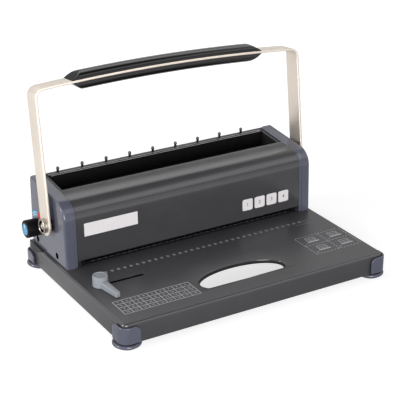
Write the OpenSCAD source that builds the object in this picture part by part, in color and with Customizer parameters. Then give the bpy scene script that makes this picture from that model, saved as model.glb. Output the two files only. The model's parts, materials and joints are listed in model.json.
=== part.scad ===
// Manual wire binding machine for A4 sheets, 3:1 hole pitch.
// Millimetres, +Z up, origin on the desk at the centre of the footprint, front towards -Y.

/* [Base] */
// Width of the base plate, left to right
base_w = 360; // [320:1:400]
// Depth of the base plate, front to back
base_d = 258; // [230:1:320]
// Corner radius of the base plate, seen from above
base_r = 6; // [4:1:14]
// Thickness of the base's sheet steel
base_t = 1.5; // [1:0.1:2.5]
// Height of the base's folded skirt
skirt_h = 26; // [22:1:40]

/* [Feet] */
// Height of the skirt's lower edge above the desk
foot_drop = 6; // [5.5:0.5:12]
// Wall of a foot outside the skirt
foot_t = 3; // [2:0.5:4.5]
// Length of a foot's leg along the base's front or back edge
foot_leg = 20; // [18:1:30]
// Length of a foot's leg along the base's side
foot_side_leg = 24; // [18:1:30]
// Distance from the base's top down to a rear foot's upper edge
foot_below = 7; // [4:0.5:10]
// How much higher the front feet reach
front_rise = 2.2; // [0:0.1:4]
// Radius at the upper ends of a foot's legs
foot_leg_r = 6; // [2:0.5:10]
// How far a foot's lower lip stands proud
foot_lip = 0.8; // [0.3:0.1:3]
// Height of a foot's lower lip
foot_lip_h = 3.5; // [2:0.5:5]
// Distance from the base's edges to a foot's screw and pad
foot_pin = 11; // [9:0.5:13]
// Thickness of the base's corner tabs
tab_t = 1.5; // [1:0.1:2.5]
// Diameter of a rubber pad
pad_d = 16; // [10:1:18]
// Thickness of a rubber pad
pad_t = 2; // [1.5:0.1:3]
// Part of a rubber pad that shows below its foot
pad_proud = 1; // [0.5:0.1:1.2]

/* [Finger opening] */
// Half width of the D-shaped opening
opening_a = 58; // [40:1:80]
// Half depth of the opening's ellipse
opening_b = 27; // [20:1:35]
// Distance from the base's front edge to the ellipse's centre
opening_in = 40; // [38:1:60]
// Distance from the base's front edge to the opening's straight edge
opening_flat = 28; // [20:1:35]
// Radius of the opening's two corners
opening_r = 4; // [1:0.5:6]

/* [Tower] */
// Distance from an end cap's outer face to the base's side
tower_side = 3.5; // [1:0.5:10]
// Depth of the tower
tower_d = 98.5; // [96:0.5:120]
// Gap between the tower's back and the base's rear edge
tower_rear = 6.5; // [4:0.5:12]
// Height of the tower above the base at the end of the nose's curve
tower_h = 83; // [80:0.5:100]
// Radius of the tower's front nose
nose_r = 22; // [12:1:30]
// How far the front leans back below the nose
front_lean = 2; // [0:0.5:6]
// Slope of the tower's top, rising to the back, in degrees
top_slope = 4.8; // [0:0.1:8]
// Radius at the top of the tower's back
back_r = 5; // [4:0.5:10]

/* [End caps] */
// Width of an end cap
cap_w = 16; // [12:0.5:20]
// Wall of an end cap
cap_t = 2.5; // [2:0.1:3.5]
// Diameter of the hole for the drive shaft in a cap
cap_hole_d = 16; // [14:0.5:20]
// Outer diameter of a screw boss in a cap
boss_d = 9; // [8:0.5:12]
// Diameter of the screw hole in a cap's outer face
boss_bore = 5.6; // [5:0.1:6.5]
// Height of the cap screws above the base
cap_screw_z = 9; // [8:0.5:20]
// Distance from the tower's front to the front cap screw
cap_screw_front = 25.5; // [15:0.5:40]
// Distance from the tower's back to the rear cap screw
cap_screw_back = 17; // [10:0.5:30]

/* [Covers] */
// Thickness of the cover sheets
cover_t = 1.2; // [0.8:0.1:1.8]
// How far the covers lie below the caps' rims
cover_inset = 1; // [0.5:0.1:2]
// Height of the front cover's lower edge above the base
cover_gap = 7.7; // [6.6:0.1:10]
// Depth of the folded lip at the trough's front edge
cover_lip = 5; // [2:0.5:8]

/* [Frames] */
// Thickness of a side frame
frame_t = 3; // [2:0.5:4]
// Gap between an end cap's rim and the side frame
frame_clear = 1.5; // [1.4:0.1:3]
// Height of the lower screws of the rear cover above the base
rear_screw_low = 12; // [8:0.5:20]
// Height of the upper screws of the rear cover above the base
rear_screw_high = 42; // [30:0.5:46]
// Distance from a foot flange's end to its screw
flange_screw = 8; // [5:0.5:12]
// Height of the rear flange above its upper screw
flange_over = 6; // [4:0.5:8]
// Thickness of a frame's flanges
flange_t = 2.5; // [2:0.5:4]
// Width of a frame's flanges
flange_w = 12; // [10:1:16]

/* [Handle] */
// Height of the handle's pivot above the base
pivot_h = 45.5; // [44:0.5:52]
// Distance from the tower's front to the pivot
pivot_in = 39.5; // [38.5:0.5:48]
// Lean of the resting handle to the back, in degrees
handle_lean = 6.45; // [0:0.05:12]
// Angle of the handle's full pull, in degrees
handle_swing = 80; // [50:1:85]
// Distance from the pivot to the middle of the crossbar
handle_reach = 171.6; // [150:0.1:220]
// Width of the handle's flat bar
bar_w = 25; // [20:0.5:30]
// Thickness of the handle's flat bar
bar_t = 3.2; // [2.5:0.1:5]
// Gap between an end cap and the handle's arm
arm_gap = 4.7; // [3:0.1:8]
// Inner bend radius at the handle's corners
bend_r = 9; // [5:0.5:20]
// Radius of the crossbar's slight upward arch
arch_r = 2300; // [1200:10:6000]
// How far the crossbar is out of level, its right end lower, in degrees
bar_tilt = 1; // [0:0.1:1.5]
// How far the crossbar stands left of the middle
bar_shift = 1.2; // [0:0.1:2]

/* [Grip] */
// Length of the grip shells
grip_l = 264; // [200:1:300]
// How far the grip sits left of the middle
grip_left = 3.8; // [0:0.1:10]
// Width of the grip shells
grip_w = 24.6; // [22:0.1:32]
// Height of the upper grip shell
grip_up = 8.5; // [4:0.5:12]
// Height of the lower grip shell
grip_down = 11; // [3:0.5:14]
// Length of the sloped grip ends
grip_end = 14; // [6:1:24]

/* [Drive] */
// Diameter of the drive shaft
shaft_d = 12; // [10:0.1:12.5]
// Side of the shaft's squared ends
shaft_sq = 8; // [7:0.1:8.2]
// Wall of a shaft bush
bush_t = 3; // [2:0.1:4]
// Thickness of a bush's flange
bush_flange = 1.2; // [0.8:0.1:1.3]
// Gear module
gear_m = 1.5; // [1.4:0.05:1.6]
// Teeth of a punch pinion
punch_teeth = 12; // [12:1:13]
// Teeth of a jaw gear
jaw_teeth = 18; // [17:1:19]
// Width of a gear's face
gear_w = 6; // [4:0.5:6.5]
// Play between meshed teeth
backlash = 0.5; // [0.4:0.05:0.6]
// Diameter of a pivot washer
washer_d = 18; // [15:0.5:20]
// Thickness of a pivot washer
washer_t = 1.6; // [1:0.1:2.5]
// Diameter of a pivot bolt's head
bolt_head_d = 14; // [11:0.5:16]
// Length of a pivot bolt's head
bolt_head_h = 8; // [5:0.5:10]
// Diameter of a pivot bolt's shank
bolt_d = 6; // [5:0.1:6.4]
// Depth of a pivot bolt in the arm and the shaft
bolt_depth = 16; // [10:0.5:24]
// Gap between a jaw gear and the side frame
gear_side = 7; // [6.5:0.1:9]

/* [Punching] */
// Pitch of the punches
hole_pitch = 8.4667; // [6:0.0001:8.5]
// Side of a square punch
punch_side = 4; // [3:0.1:4.4]
// Clear height of the throat
throat_h = 2; // [1.5:0.1:2.5]
// Thickness of the die plate
die_t = 3.5; // [3:0.1:4]
// Thickness of the stripper plate
stripper_t = 6; // [5:0.5:7]
// Width of a throat spacer
spacer_w = 4.5; // [3.5:0.1:5]
// Distance from the holes' centre line to the sheet's edge
hole_margin = 6; // [5:0.1:7]
// Depth of the paper stop
stop_d = 4; // [3:0.5:4.5]
// Depth of the punch bar
punch_bar_d = 12; // [11:0.5:12.5]
// Height of the punch bar
punch_bar_h = 14; // [10:0.5:16]
// Room between stripper and resting punch bar
punch_room = 18.5; // [17:0.5:20]
// Thickness of a punch rack behind its teeth
rack_back = 3.6; // [3:0.1:4]
// Distance from the middle to a punch rack
punch_rack_x = 110; // [60:1:125]
// Height of the resting punch tips above the throat
tip_in = 0.8; // [0.5:0.1:1.5]
// Gap between the punch bar's ends and the side frames
bar_end = 2; // [1:0.5:5]
// Wall of the punch bar outside a guide post
post_wall = 2; // [1.5:0.1:3]
// Diameter of a guide post
post_d = 8; // [6:0.5:8.5]
// Wire diameter of a return spring
spring_wire = 1; // [0.8:0.1:1.2]
// Turns of a return spring
spring_turns = 4.5; // [3:0.5:5]

/* [Closing] */
// Width of the trough, front to back
trough_w = 42; // [40:0.5:48]
// Thickness of the moving jaw
jaw_t = 2.5; // [2:0.1:3]
// Gap between the moving jaw and the hanger rail
jaw_gap = 1; // [0.5:0.1:2]
// Thickness of a jaw rack above its teeth
jaw_rack_h = 4.6; // [3.5:0.1:5]
// Width of a jaw rack's runner
jaw_runner_w = 4; // [3:0.1:4.5]
// Gap between the moving jaw's ends and the side frames
jaw_end = 2; // [1:0.5:4]
// Thickness of the ledges under the jaw racks
ledge_h = 4; // [3:0.5:6]
// Gap between the jaw racks and the trough's floor
channel_lift = 1.5; // [1:0.1:2.5]
// Gap between the trough's floor and the jaw gears
channel_side = 2; // [1.5:0.1:4]
// Room left between the closed jaws
jaw_room = 10; // [6:0.5:12]
// Depth of the fixed jaw
fixed_jaw_d = 6; // [4:0.5:8]
// Height of the fixed jaw
fixed_jaw_h = 11; // [8:0.5:13]
// Thickness of the closing channel's sheet
channel_t = 1.5; // [1:0.1:2]
// Width of the hanger rail's top flange
rail_w = 6; // [5:0.1:6.5]
// Thickness of the hanger rail's sheet
rail_t = 2; // [1.5:0.1:2.5]
// Height of the hanger rail
rail_h = 35; // [25:1:40]
// Gap between the hanger rail and the rear cover
rail_back = 1.8; // [1:0.1:3]
// Depth of a hanger pin in the rail
pin_seat = 4; // [3:0.5:6]
// Pitch of the hanger pins
pin_pitch = 33.4; // [20:0.1:35]
// Offset of the pin row from the middle
pin_shift = -7.5; // [-12:0.5:12]
// Diameter of a hanger pin
pin_d = 2.6; // [2:0.1:3.2]
// Diameter of a hanger pin's head
pin_head_d = 4.2; // [3.4:0.1:5]
// Height of a hanger pin above the rail
pin_h = 9; // [7:0.5:14]

/* [Selector] */
// Height of the selector's axis above the base
knob_z = 26.5; // [24:0.5:30]
// Distance from the tower's back to the selector's axis
knob_in = 18.5; // [17.5:0.5:22]
// Diameter of the knob at the cap
knob_d = 22; // [16:0.5:26]
// Diameter of the knob at its free end
knob_end_d = 20.5; // [16:0.5:26]
// Length of the knob
knob_l = 17; // [12:0.5:17]
// Diameter of the disc on the knob
disc_d = 15; // [10:0.5:16]
// Thickness of the disc on the knob
disc_t = 1; // [0.6:0.1:1.6]
// Diameter of the selector shaft
selector_d = 8; // [6:0.1:9]
// Gap between the selector cam and the side frame
cam_in = 10; // [6:0.5:14]
// Width of the selector cam
cam_w = 6; // [4:0.5:8]
// Least radius of the selector cam
cam_low = 6.5; // [6.2:0.1:8]
// Greatest radius of the selector cam
cam_high = 11; // [9:0.1:12]

/* [Edge guide] */
// Distance from the base's front edge to the guide slot
slot_in = 98.7; // [90:0.1:110]
// Width of the guide slot
slot_w = 4; // [3:0.1:5]
// Distance from the base's left edge to the slot's end
slot_left = 16; // [14:0.5:24]
// Length of the guide slot
slot_l = 62.5; // [40:0.5:90]
// Length of the slider's neck in the slot
neck_l = 10; // [6:0.5:14]
// Thickness of the slider's shoe below the base
shoe_t = 2; // [1.5:0.1:2]
// Sheet of the channel below the base that the shoe runs in
guide_sheet = 0.8; // [0.6:0.1:0.8]
// Diameter of the guide's turret
turret_d = 18.5; // [15:0.5:22]
// Height of the guide's turret
turret_h = 14; // [12:0.5:18]
// Length of the guide lever from the turret's axis
lever_l = 37; // [28:0.5:50]
// Width of the guide lever at its root
lever_root_w = 10; // [7:0.5:12]
// Width of the guide lever at its tip
lever_tip_w = 6; // [4:0.5:8]
// Height of the guide lever at its root
lever_root_h = 9.5; // [7:0.5:11]
// Height of the guide lever at its tip
lever_tip_h = 6; // [4:0.5:8]
// Turn of the guide lever from straight forward, in degrees
lever_turn = 7; // [-20:1:20]
// Diameter of the guide's pin
guide_pin_d = 6; // [4:0.1:7]

/* [Chip tray] */
// Distance from the side frames' plane to the bin's sides
tray_side = 7; // [6:0.5:14]
// Distance from the punches to the bin's front
tray_front = 16; // [10:0.5:24]
// Wall of the chip tray
tray_t = 2; // [1.5:0.1:2.5]
// Length of the visible tray ears along the base's side
ear_l = 44; // [40:1:50]
// How far the ears' lower front edge slopes back
ear_slant = 17; // [5:0.5:20]
// Gap in front of the ears
ear_gap = 1; // [0.8:0.1:2]
// How far the tray lies inside the base's outline
ear_in = 0.2; // [0.1:0.1:1]
// Thickness of a tray runner's sheet
runner_t = 1.5; // [1:0.1:2]
// Width of a tray runner's shelf
runner_w = 11; // [8:0.5:14]

/* [Fasteners] */
// Shank diameter of the small screws
screw_d = 3; // [2.5:0.1:3.4]
// Head diameter of the small screws
screw_head_d = 5; // [4.5:0.1:5.4]
// Head height of the small screws
screw_head_h = 2; // [1.5:0.1:2.6]

/* [Clearances] */
// Radial play of a shaft or pin in its bore
run_fit = 0.05; // [0.02:0.01:0.08]
// Play of a square punch in its guide, each side
punch_fit = 0.1; // [0.05:0.01:0.15]
// Gap at sliding faces
slide_fit = 0.3; // [0.2:0.05:0.4]
// Gap between a grip shell and the bar
grip_seat = 0.05; // [0.02:0.01:0.1]
// Gap between parts that lie beside each other
seat_fit = 0.2; // [0.1:0.05:0.3]

/* [Hidden] */
$fn = 64;

// Overrun of a cutting shape past the face it cuts
cut = 1;
// Colours of the finishes
charcoal = "#4b4a4e";
blue_grey = "#5b5b68";
cream_nickel = "#e6ded4";
gloss_black = "#1a1618";
bright_steel = "#b8b8ba";
black_steel = "#1c1c1e";
bronze = "#a5834f";
sky_blue = "#55bfe8";
guide_grey = "#8d9297";
soft_black = "#202022";

// Levels and planes
base_top = foot_drop + skirt_h;
base_under = base_top - base_t;
foot_top = base_top - foot_below;
tower_y1 = base_d / 2 - tower_rear;
tower_y0 = tower_y1 - tower_d;
cap_out = base_w / 2 - tower_side;
cap_in = cap_out - cap_w;
nose_y = tower_y0 + front_lean + nose_r;
nose_z = base_top + tower_h - nose_r;
frame_out = cap_in - frame_clear;
frame_in = frame_out - frame_t;
frame_inset = cover_inset + cover_t + seat_fit;
cover_half = cap_in - slide_fit;
cover_z = base_top + cover_gap;
cover_back = tower_y1 - cover_inset;

// Handle and drive
pivot_y = tower_y0 + pivot_in;
pivot_z = base_top + pivot_h;
arm_in = cap_out + arm_gap;
arm_out = arm_in + bar_t;
arm_mid = arm_in + bar_t / 2;
bend_mid = bend_r + bar_t / 2;
bend_x = arm_mid - bend_mid;
arch_z = handle_reach - arch_r;
bend_z = arch_z + sqrt(pow(arch_r - bend_mid, 2) - bend_x * bend_x);
bend_turn = atan2(bend_z - arch_z, bend_x);
grip_turn = asin(grip_l / 2 / arch_r);
left_turn = asin(grip_left / arch_r);
grip_drop = arch_z + sqrt(arch_r * arch_r - grip_l * grip_l / 4);
bush_d = shaft_d + 2 * bush_t;
socket_d = bolt_head_d * 0.5;
socket_depth = bolt_head_h / 2;
punch_r = gear_m * punch_teeth / 2;
jaw_r = gear_m * jaw_teeth / 2;
addendum = 0.8 * gear_m;
dedendum = 1.25 * gear_m;
pressure = 20;
punch_stroke = punch_r * handle_swing * PI / 180;
jaw_stroke = jaw_r * handle_swing * PI / 180;

// Punch
die_top = base_top + die_t;
stripper_z = die_top + throat_h;
stripper_top = stripper_z + stripper_t;
plate_half = frame_in - slide_fit;
punch_y = pivot_y - punch_r - dedendum - rack_back - punch_bar_d / 2;
plate_y0 = tower_y0 + cover_inset + cover_t + front_lean / 2;
plate_y1 = punch_y + hole_margin + stop_d + 3;
bar_z = stripper_top + punch_room;
bar_top = bar_z + punch_bar_h;
bar_half = frame_in - bar_end;
post_x = bar_half - post_d / 2 - post_wall;
post_top = bar_top + post_d;
tip_z = stripper_z + tip_in;
punch_root = bar_z + punch_bar_h / 2;
tooth_pitch = PI * gear_m;
rack_last = ceil(punch_stroke / tooth_pitch) + 1;
rack_top = pivot_z + (rack_last + 0.7) * tooth_pitch;
spring_r = post_d / 2 + 0.5 + spring_wire / 2;
spring_edge = post_x - spring_r - spring_wire / 2 - slide_fit;
hole_count = floor((2 * spring_edge - punch_side) / hole_pitch) + 1;
row_half = hole_pitch * (hole_count - 1) / 2;
die_screw_x = plate_half - spacer_w / 2;
die_screw_y = [plate_y0 + spacer_w, plate_y1 - spacer_w];

// Closing
rail_y1 = cover_back - cover_t - rail_back;
rail_y0 = rail_y1 - rail_w;
rail_web_y = rail_y0 + rail_w / 4;
jaw_y1 = rail_y0 - jaw_gap;
jaw_y0 = jaw_y1 - jaw_t;
trough_y0 = jaw_y1 - trough_w;
jaw_rack_z0 = pivot_z + jaw_r + dedendum;
jaw_rack_z1 = jaw_rack_z0 + jaw_rack_h;
channel_z = jaw_rack_z1 + channel_lift;
jaw_floor = channel_z + channel_t + slide_fit;
gear_x = frame_in - gear_side - gear_w;
gear_x1 = gear_x + gear_w;
runner_x1 = gear_x1 + jaw_runner_w;
slide_x = gear_x1 + 1;
channel_half = gear_x - channel_side;
jaw_rack_front = pivot_y - 1.7 * tooth_pitch;
jaw_rack_last = ceil(jaw_stroke / tooth_pitch) + 1;
fixed_jaw_y = jaw_y0 - jaw_stroke - jaw_room - fixed_jaw_d;

rail_top = top_z(rail_y0) - 1;
pin_count = floor(2 * (frame_in - abs(pin_shift) - 2 * pin_head_d) / pin_pitch) + 1;
pin_y = rail_web_y + rail_t / 2 + 0.5;

// Screw places
cap_screw_y = [tower_y0 + cap_screw_front, tower_y1 - cap_screw_back];
cap_screw_x = frame_out + seat_fit + 2;
rear_screw_z = [base_top + rear_screw_low, base_top + rear_screw_high];
frame_screw_x = frame_in - flange_w / 2;
frame_flange_y = [plate_y1 + 3, cover_back - cover_t - seat_fit - flange_t];
frame_screw_y = [frame_flange_y[0] + flange_screw, frame_flange_y[1] - flange_screw];

// Selector
knob_y = tower_y1 - knob_in;
knob_axis_z = base_top + knob_z;
knob_x0 = cap_out + 0.5;
knob_end = knob_x0 + knob_l;
selector_bush_d = selector_d + 5;
cam_x = frame_in - cam_in;

// Edge guide
slot_y = slot_in - base_d / 2;
slot_x0 = slot_left - base_w / 2;
guide_x = slot_x0 + slide_fit + neck_l / 2;
guide_pin_top = base_top + turret_h - 4;
shoe_half_l = neck_l / 2 + 2;
shoe_half_w = slot_w + 2;
shoe_z = base_under - seat_fit - shoe_t;

// Chip tray
tray_y0 = punch_y - tray_front;
tray_y1 = base_d / 2 - ear_in;
tray_z0 = foot_drop + 0.5 + runner_t + slide_fit;
tray_floor = tray_z0 + tray_t;
tray_top = base_under - slide_fit;
tray_half = frame_in - tray_side;
runner_x = tray_half + slide_fit;
rear_open = runner_x + runner_t + slide_fit;
notch_y = base_d / 2 - ear_l;
rear_foot_top = foot_top - seat_fit;
front_foot_top = rear_foot_top + front_rise;

// Depth of the notch's sloped front edge at height z
function notch_edge(z) = notch_y + ear_slant * (base_top - z) / foot_below;

// Side outline of the notch above a rear foot between two heights, back to depth y
function notch_area(z0, z1, y, gap) =
    [[notch_edge(z0) + gap, z0], [y, z0], [y, z1], [notch_edge(z1) + gap, z1]];

// Points of an arc about [cx, cy]
function arc(cx, cy, r, from, to, n) =
    [for (i = [0:n]) [cx + r * cos(from + (to - from) * i / n), cy + r * sin(from + (to - from) * i / n)]];

// Rounded rectangle about the origin
function rounded(w, d, r) = concat(
    arc(w / 2 - r, d / 2 - r, r, 0, 90, 10), arc(r - w / 2, d / 2 - r, r, 90, 180, 10),
    arc(r - w / 2, r - d / 2, r, 180, 270, 10), arc(w / 2 - r, r - d / 2, r, 270, 360, 10));

// Height of the tower's sloped top at depth y, for a surface that lies inset below it
function top_z(y, inset = 0) = nose_z + (nose_r - inset) / cos(top_slope) + (y - nose_y) * tan(top_slope);

// Depth of the tower's leaning front at height z
function front_y(z, inset = 0) =
    tower_y0 + inset + front_lean * min(1, (z - base_top) / (nose_z - base_top));

// Front and nose of the tower, from height z up to depth y on the sloped top
function nose_line(inset, z, y) = concat(
    [[front_y(z, inset), z]], arc(nose_y, nose_z, nose_r - inset, 180, 90 + top_slope, 14),
    [[y, top_z(y, inset)]]);

// Closed side outline of the tower
function tower_outline(inset, floor_z) = concat(
    nose_line(inset, floor_z, tower_y1 - back_r - 1),
    arc(tower_y1 - back_r, top_z(tower_y1 - back_r) - back_r / cos(top_slope), back_r - inset,
        90 + top_slope, 0, 8),
    [[tower_y1 - inset, floor_z]]);

function reversed(list) = [for (i = [len(list) - 1:-1:0]) list[i]];

// Involute angle in degrees at radius r for base radius rb
function involute(rb, r) = let (a = acos(min(1, rb / r))) tan(a) * 180 / PI - a;

// Outline of a spur gear with a gap centred on the direction "gap"
function gear_points(teeth, gap) =
    let (rp = gear_m * teeth / 2, rb = rp * cos(pressure), ra = rp + addendum, rr = rp - dedendum,
         half = 90 / teeth - backlash / 4 / rp * 180 / PI + involute(rb, rp), r0 = max(rb, rr), n = 4)
    [for (k = [0:teeth - 1])
        let (mid = gap + 360 * (k + 0.5) / teeth)
        each concat(
            [[rr * cos(mid - half), rr * sin(mid - half)]],
            [for (i = [0:n]) let (r = r0 + (ra - r0) * i / n, a = mid - half + involute(rb, r))
                [r * cos(a), r * sin(a)]],
            [for (i = [n:-1:0]) let (r = r0 + (ra - r0) * i / n, a = mid + half - involute(rb, r))
                [r * cos(a), r * sin(a)]],
            [[rr * cos(mid + half), rr * sin(mid + half)]])];

// Side outline of a rack: teeth towards +x of the pitch line x = 0, one tooth centred on y = 0
function rack_points(back, y0, y1, first, last) =
    let (p = tooth_pitch, w = p / 4 - backlash / 4, s = tan(pressure))
    concat([[-dedendum - back, y1], [-dedendum - back, y0], [-dedendum, y0]],
        [for (k = [first:last]) each [
            [-dedendum, k * p - w - dedendum * s], [addendum, k * p - w + addendum * s],
            [addendum, k * p + w - addendum * s], [-dedendum, k * p + w + dedendum * s]]],
        [[-dedendum, y1]]);

// Extrudes a (Y, Z) outline along X from x
module along_x(x, l) translate([x, 0, 0]) rotate([90, 0, 90]) linear_extrude(l) children();

// Round bar along X
module rod_x(x, y, z, d, l) translate([x, y, z]) rotate([0, 90, 0]) cylinder(d = d, h = l);

// Round bar along Z
module rod_z(x, y, z, d, h) translate([x, y, z]) cylinder(d = d, h = h);

// Block given by two opposite corners
module block(a, b) translate(a) cube(b - a);

// Flat plate with an outline seen from above
module plate(points, z, h) translate([0, 0, z]) linear_extrude(h) polygon(points);

// The children and their mirror image in the middle plane
module both_sides() {
    children();
    mirror([1, 0, 0]) children();
}

// The children at the right or, mirrored, at the left
module on_side(side) mirror([side < 0 ? 1 : 0, 0, 0]) children();

// Round-headed screw along an axis turned by "turn", with its head's underside at the given place
module screw(place, turn, l) translate(place) rotate(turn) {
    cylinder(d = screw_head_d, h = screw_head_h);
    translate([0, 0, -l]) cylinder(d = screw_d, h = l);
}

// Direction of the opening's ellipse normal at parameter t
function opening_normal(t) = atan2(sin(t) / opening_b, cos(t) / opening_a);

// Parameter where a corner arc leaves the ellipse, found by repeated substitution
function opening_turn(t, k) = k == 0 ? t : opening_turn(
    asin((opening_flat - opening_in + opening_r + opening_r * sin(opening_normal(t))) / opening_b), k - 1);

// D-shaped finger opening: an ellipse cut off by a straight edge, with round corners
function opening_points() =
    let (cy = opening_in - base_d / 2, t0 = opening_turn(0, 8), n = 40, a = opening_normal(t0),
         cx = opening_a * cos(t0) - opening_r * cos(a), fy = opening_flat - base_d / 2 + opening_r)
    concat(
        arc(cx, fy, opening_r, -90, a, 6),
        [for (i = [1:n - 1]) let (t = t0 + (180 - 2 * t0) * i / n)
            [opening_a * cos(t), cy + opening_b * sin(t)]],
        arc(-cx, fy, opening_r, 180 - a, 270, 6));

module base_pan() color(charcoal) {
    difference() {
        plate(rounded(base_w, base_d, base_r), foot_drop, skirt_h);
        plate(rounded(base_w - 2 * base_t, base_d - 2 * base_t, base_r - base_t), foot_drop - cut,
            skirt_h - base_t + cut);
        plate(opening_points(), base_under - cut, base_t + 2 * cut);
        // Guide slot
        block([slot_x0, slot_y - slot_w / 2, base_under - cut],
            [slot_x0 + slot_l, slot_y + slot_w / 2, base_top + cut]);
        // Slot through which the chips fall
        block([-row_half - 5, punch_y - 5, base_under - cut], [row_half + 5, punch_y + 5, base_top + cut]);
        // Notches above the rear feet: below the top sheet round the back, and up through its side margins
        along_x(-base_w / 2 - cut, base_w + 2 * cut)
            polygon(notch_area(foot_top, base_under, base_d / 2 + cut, 0));
        both_sides() along_x(cap_out + slide_fit, tower_side)
            polygon(notch_area(foot_top, base_top + cut, base_d / 2 + cut, 0));
        // Mouth of the chip tray
        block([-rear_open, base_d / 2 - base_t - cut, foot_drop - cut],
            [rear_open, base_d / 2 + cut, foot_top + cut]);
        both_sides() {
            for (y = die_screw_y)
                rod_z(die_screw_x, y, base_under - cut, screw_d, base_t + 2 * cut);
            for (y = frame_screw_y)
                rod_z(frame_screw_x, y, base_under - cut, screw_d, base_t + 2 * cut);
        }
    }
    // Corner tabs that the feet are screwed to
    for (sy = [-1, 1])
        both_sides() mirror([0, sy < 0 ? 1 : 0, 0]) difference() {
            intersection() {
                block([base_w / 2 - foot_leg, base_d / 2 - foot_leg, foot_drop],
                    [base_w / 2, base_d / 2, foot_drop + tab_t]);
                plate(rounded(base_w - base_t, base_d - base_t, base_r - base_t / 2), foot_drop, tab_t);
            }
            rod_z(base_w / 2 - foot_pin, base_d / 2 - foot_pin, foot_drop - cut, screw_d, tab_t + 2 * cut);
        }
}

// Corner foot that wraps the skirt up to the given height; sx and sy choose the corner
module corner_foot(sx, sy, top) color(blue_grey)
    mirror([sx < 0 ? 1 : 0, 0, 0]) mirror([0, sy < 0 ? 1 : 0, 0]) difference() {
        intersection() {
            union() {
                plate(rounded(base_w + 2 * foot_t, base_d + 2 * foot_t, base_r + foot_t), pad_proud,
                    top - pad_proud);
                plate(rounded(base_w + 2 * (foot_t + foot_lip), base_d + 2 * (foot_t + foot_lip),
                    base_r + foot_t + foot_lip), pad_proud, foot_lip_h);
            }
            block([base_w / 2 - foot_leg, base_d / 2 - foot_side_leg, 0], [base_w, base_d, base_top]);
        }
        plate(rounded(base_w, base_d, base_r), foot_drop, skirt_h);
        // Round upper ends of both legs
        difference() {
            block([base_w / 2 - foot_leg - cut, base_d / 2, top - foot_leg_r],
                [base_w / 2 - foot_leg + foot_leg_r, base_d, base_top]);
            translate([base_w / 2 - foot_leg + foot_leg_r, base_d, top - foot_leg_r]) rotate([90, 0, 0])
                cylinder(r = foot_leg_r, h = base_d);
        }
        difference() {
            block([base_w / 2, base_d / 2 - foot_side_leg - cut, top - foot_leg_r],
                [base_w, base_d / 2 - foot_side_leg + foot_leg_r, base_top]);
            rod_x(0, base_d / 2 - foot_side_leg + foot_leg_r, top - foot_leg_r, 2 * foot_leg_r, base_w);
        }
        rod_z(base_w / 2 - foot_pin, base_d / 2 - foot_pin, 0, pad_d, pad_t);
        rod_z(base_w / 2 - foot_pin, base_d / 2 - foot_pin, 0, screw_head_d, pad_t + screw_head_h);
        rod_z(base_w / 2 - foot_pin, base_d / 2 - foot_pin, 0, screw_d, base_top);
    }

module foot_front_left() corner_foot(-1, -1, front_foot_top);
module foot_front_right() corner_foot(1, -1, front_foot_top);
module foot_rear_left() corner_foot(-1, 1, rear_foot_top);
module foot_rear_right() corner_foot(1, 1, rear_foot_top);

module foot_pads() color(soft_black)
    for (sx = [-1, 1], sy = [-1, 1])
        rod_z(sx * (base_w / 2 - foot_pin), sy * (base_d / 2 - foot_pin), 0, pad_d, pad_t);

module foot_screws() color(bright_steel)
    for (sx = [-1, 1], sy = [-1, 1])
        screw([sx * (base_w / 2 - foot_pin), sy * (base_d / 2 - foot_pin), pad_t + screw_head_h],
            [180, 0, 0], foot_drop + tab_t + 1.5 - pad_t - screw_head_h);

// Bent cover sheet with the rounded nose and the lip at the trough
module front_cover() color(charcoal) {
    along_x(-cover_half, 2 * cover_half) polygon(concat(
        nose_line(cover_inset, cover_z, trough_y0),
        reversed(nose_line(cover_inset + cover_t, cover_z, trough_y0))));
    // Lip between the side frames
    block([slide_fit - frame_in, trough_y0 - cover_t, top_z(trough_y0, cover_inset) - cover_lip],
        [frame_in - slide_fit, trough_y0, top_z(trough_y0 - cover_t, cover_inset + cover_t / 2)]);
}

module rear_cover() color(charcoal) difference() {
    block([-cover_half, cover_back - cover_t, base_top + seat_fit],
        [cover_half, cover_back, top_z(cover_back) - back_r / 2]);
    both_sides() for (z = rear_screw_z)
        translate([frame_screw_x, cover_back + cut, z]) rotate([90, 0, 0])
            cylinder(d = screw_d, h = cover_t + 2 * cut);
}

module rear_cover_screws() color(bright_steel)
    both_sides() for (z = rear_screw_z)
        screw([frame_screw_x, cover_back, z], [-90, 0, 0], cover_t + seat_fit + flange_t);

module end_cap(side) color(blue_grey) on_side(side) difference() {
    union() {
        difference() {
            along_x(cap_in, cap_w) polygon(tower_outline(0, base_top));
            along_x(cap_in - cut, cap_w - cap_t + cut) polygon(tower_outline(cap_t, base_top + cap_t));
        }
        for (y = cap_screw_y)
            rod_x(frame_out + seat_fit, y, base_top + cap_screw_z, boss_d, cap_out - frame_out - cap_t);
    }
    rod_x(cap_in, pivot_y, pivot_z, cap_hole_d, cap_w + cut);
    for (y = cap_screw_y) {
        rod_x(cap_screw_x, y, base_top + cap_screw_z, boss_bore, cap_w + cut);
        rod_x(frame_in, y, base_top + cap_screw_z, screw_d, cap_w);
    }
    if (side < 0)
        rod_x(cap_in, knob_y, knob_axis_z, selector_bush_d + 2, cap_w + cut);
}

module left_end_cap() end_cap(-1);
module right_end_cap() end_cap(1);

module cap_screws() color(bright_steel)
    both_sides() for (y = cap_screw_y)
        screw([cap_screw_x, y, base_top + cap_screw_z], [0, 90, 0], cap_screw_x - frame_in);

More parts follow.
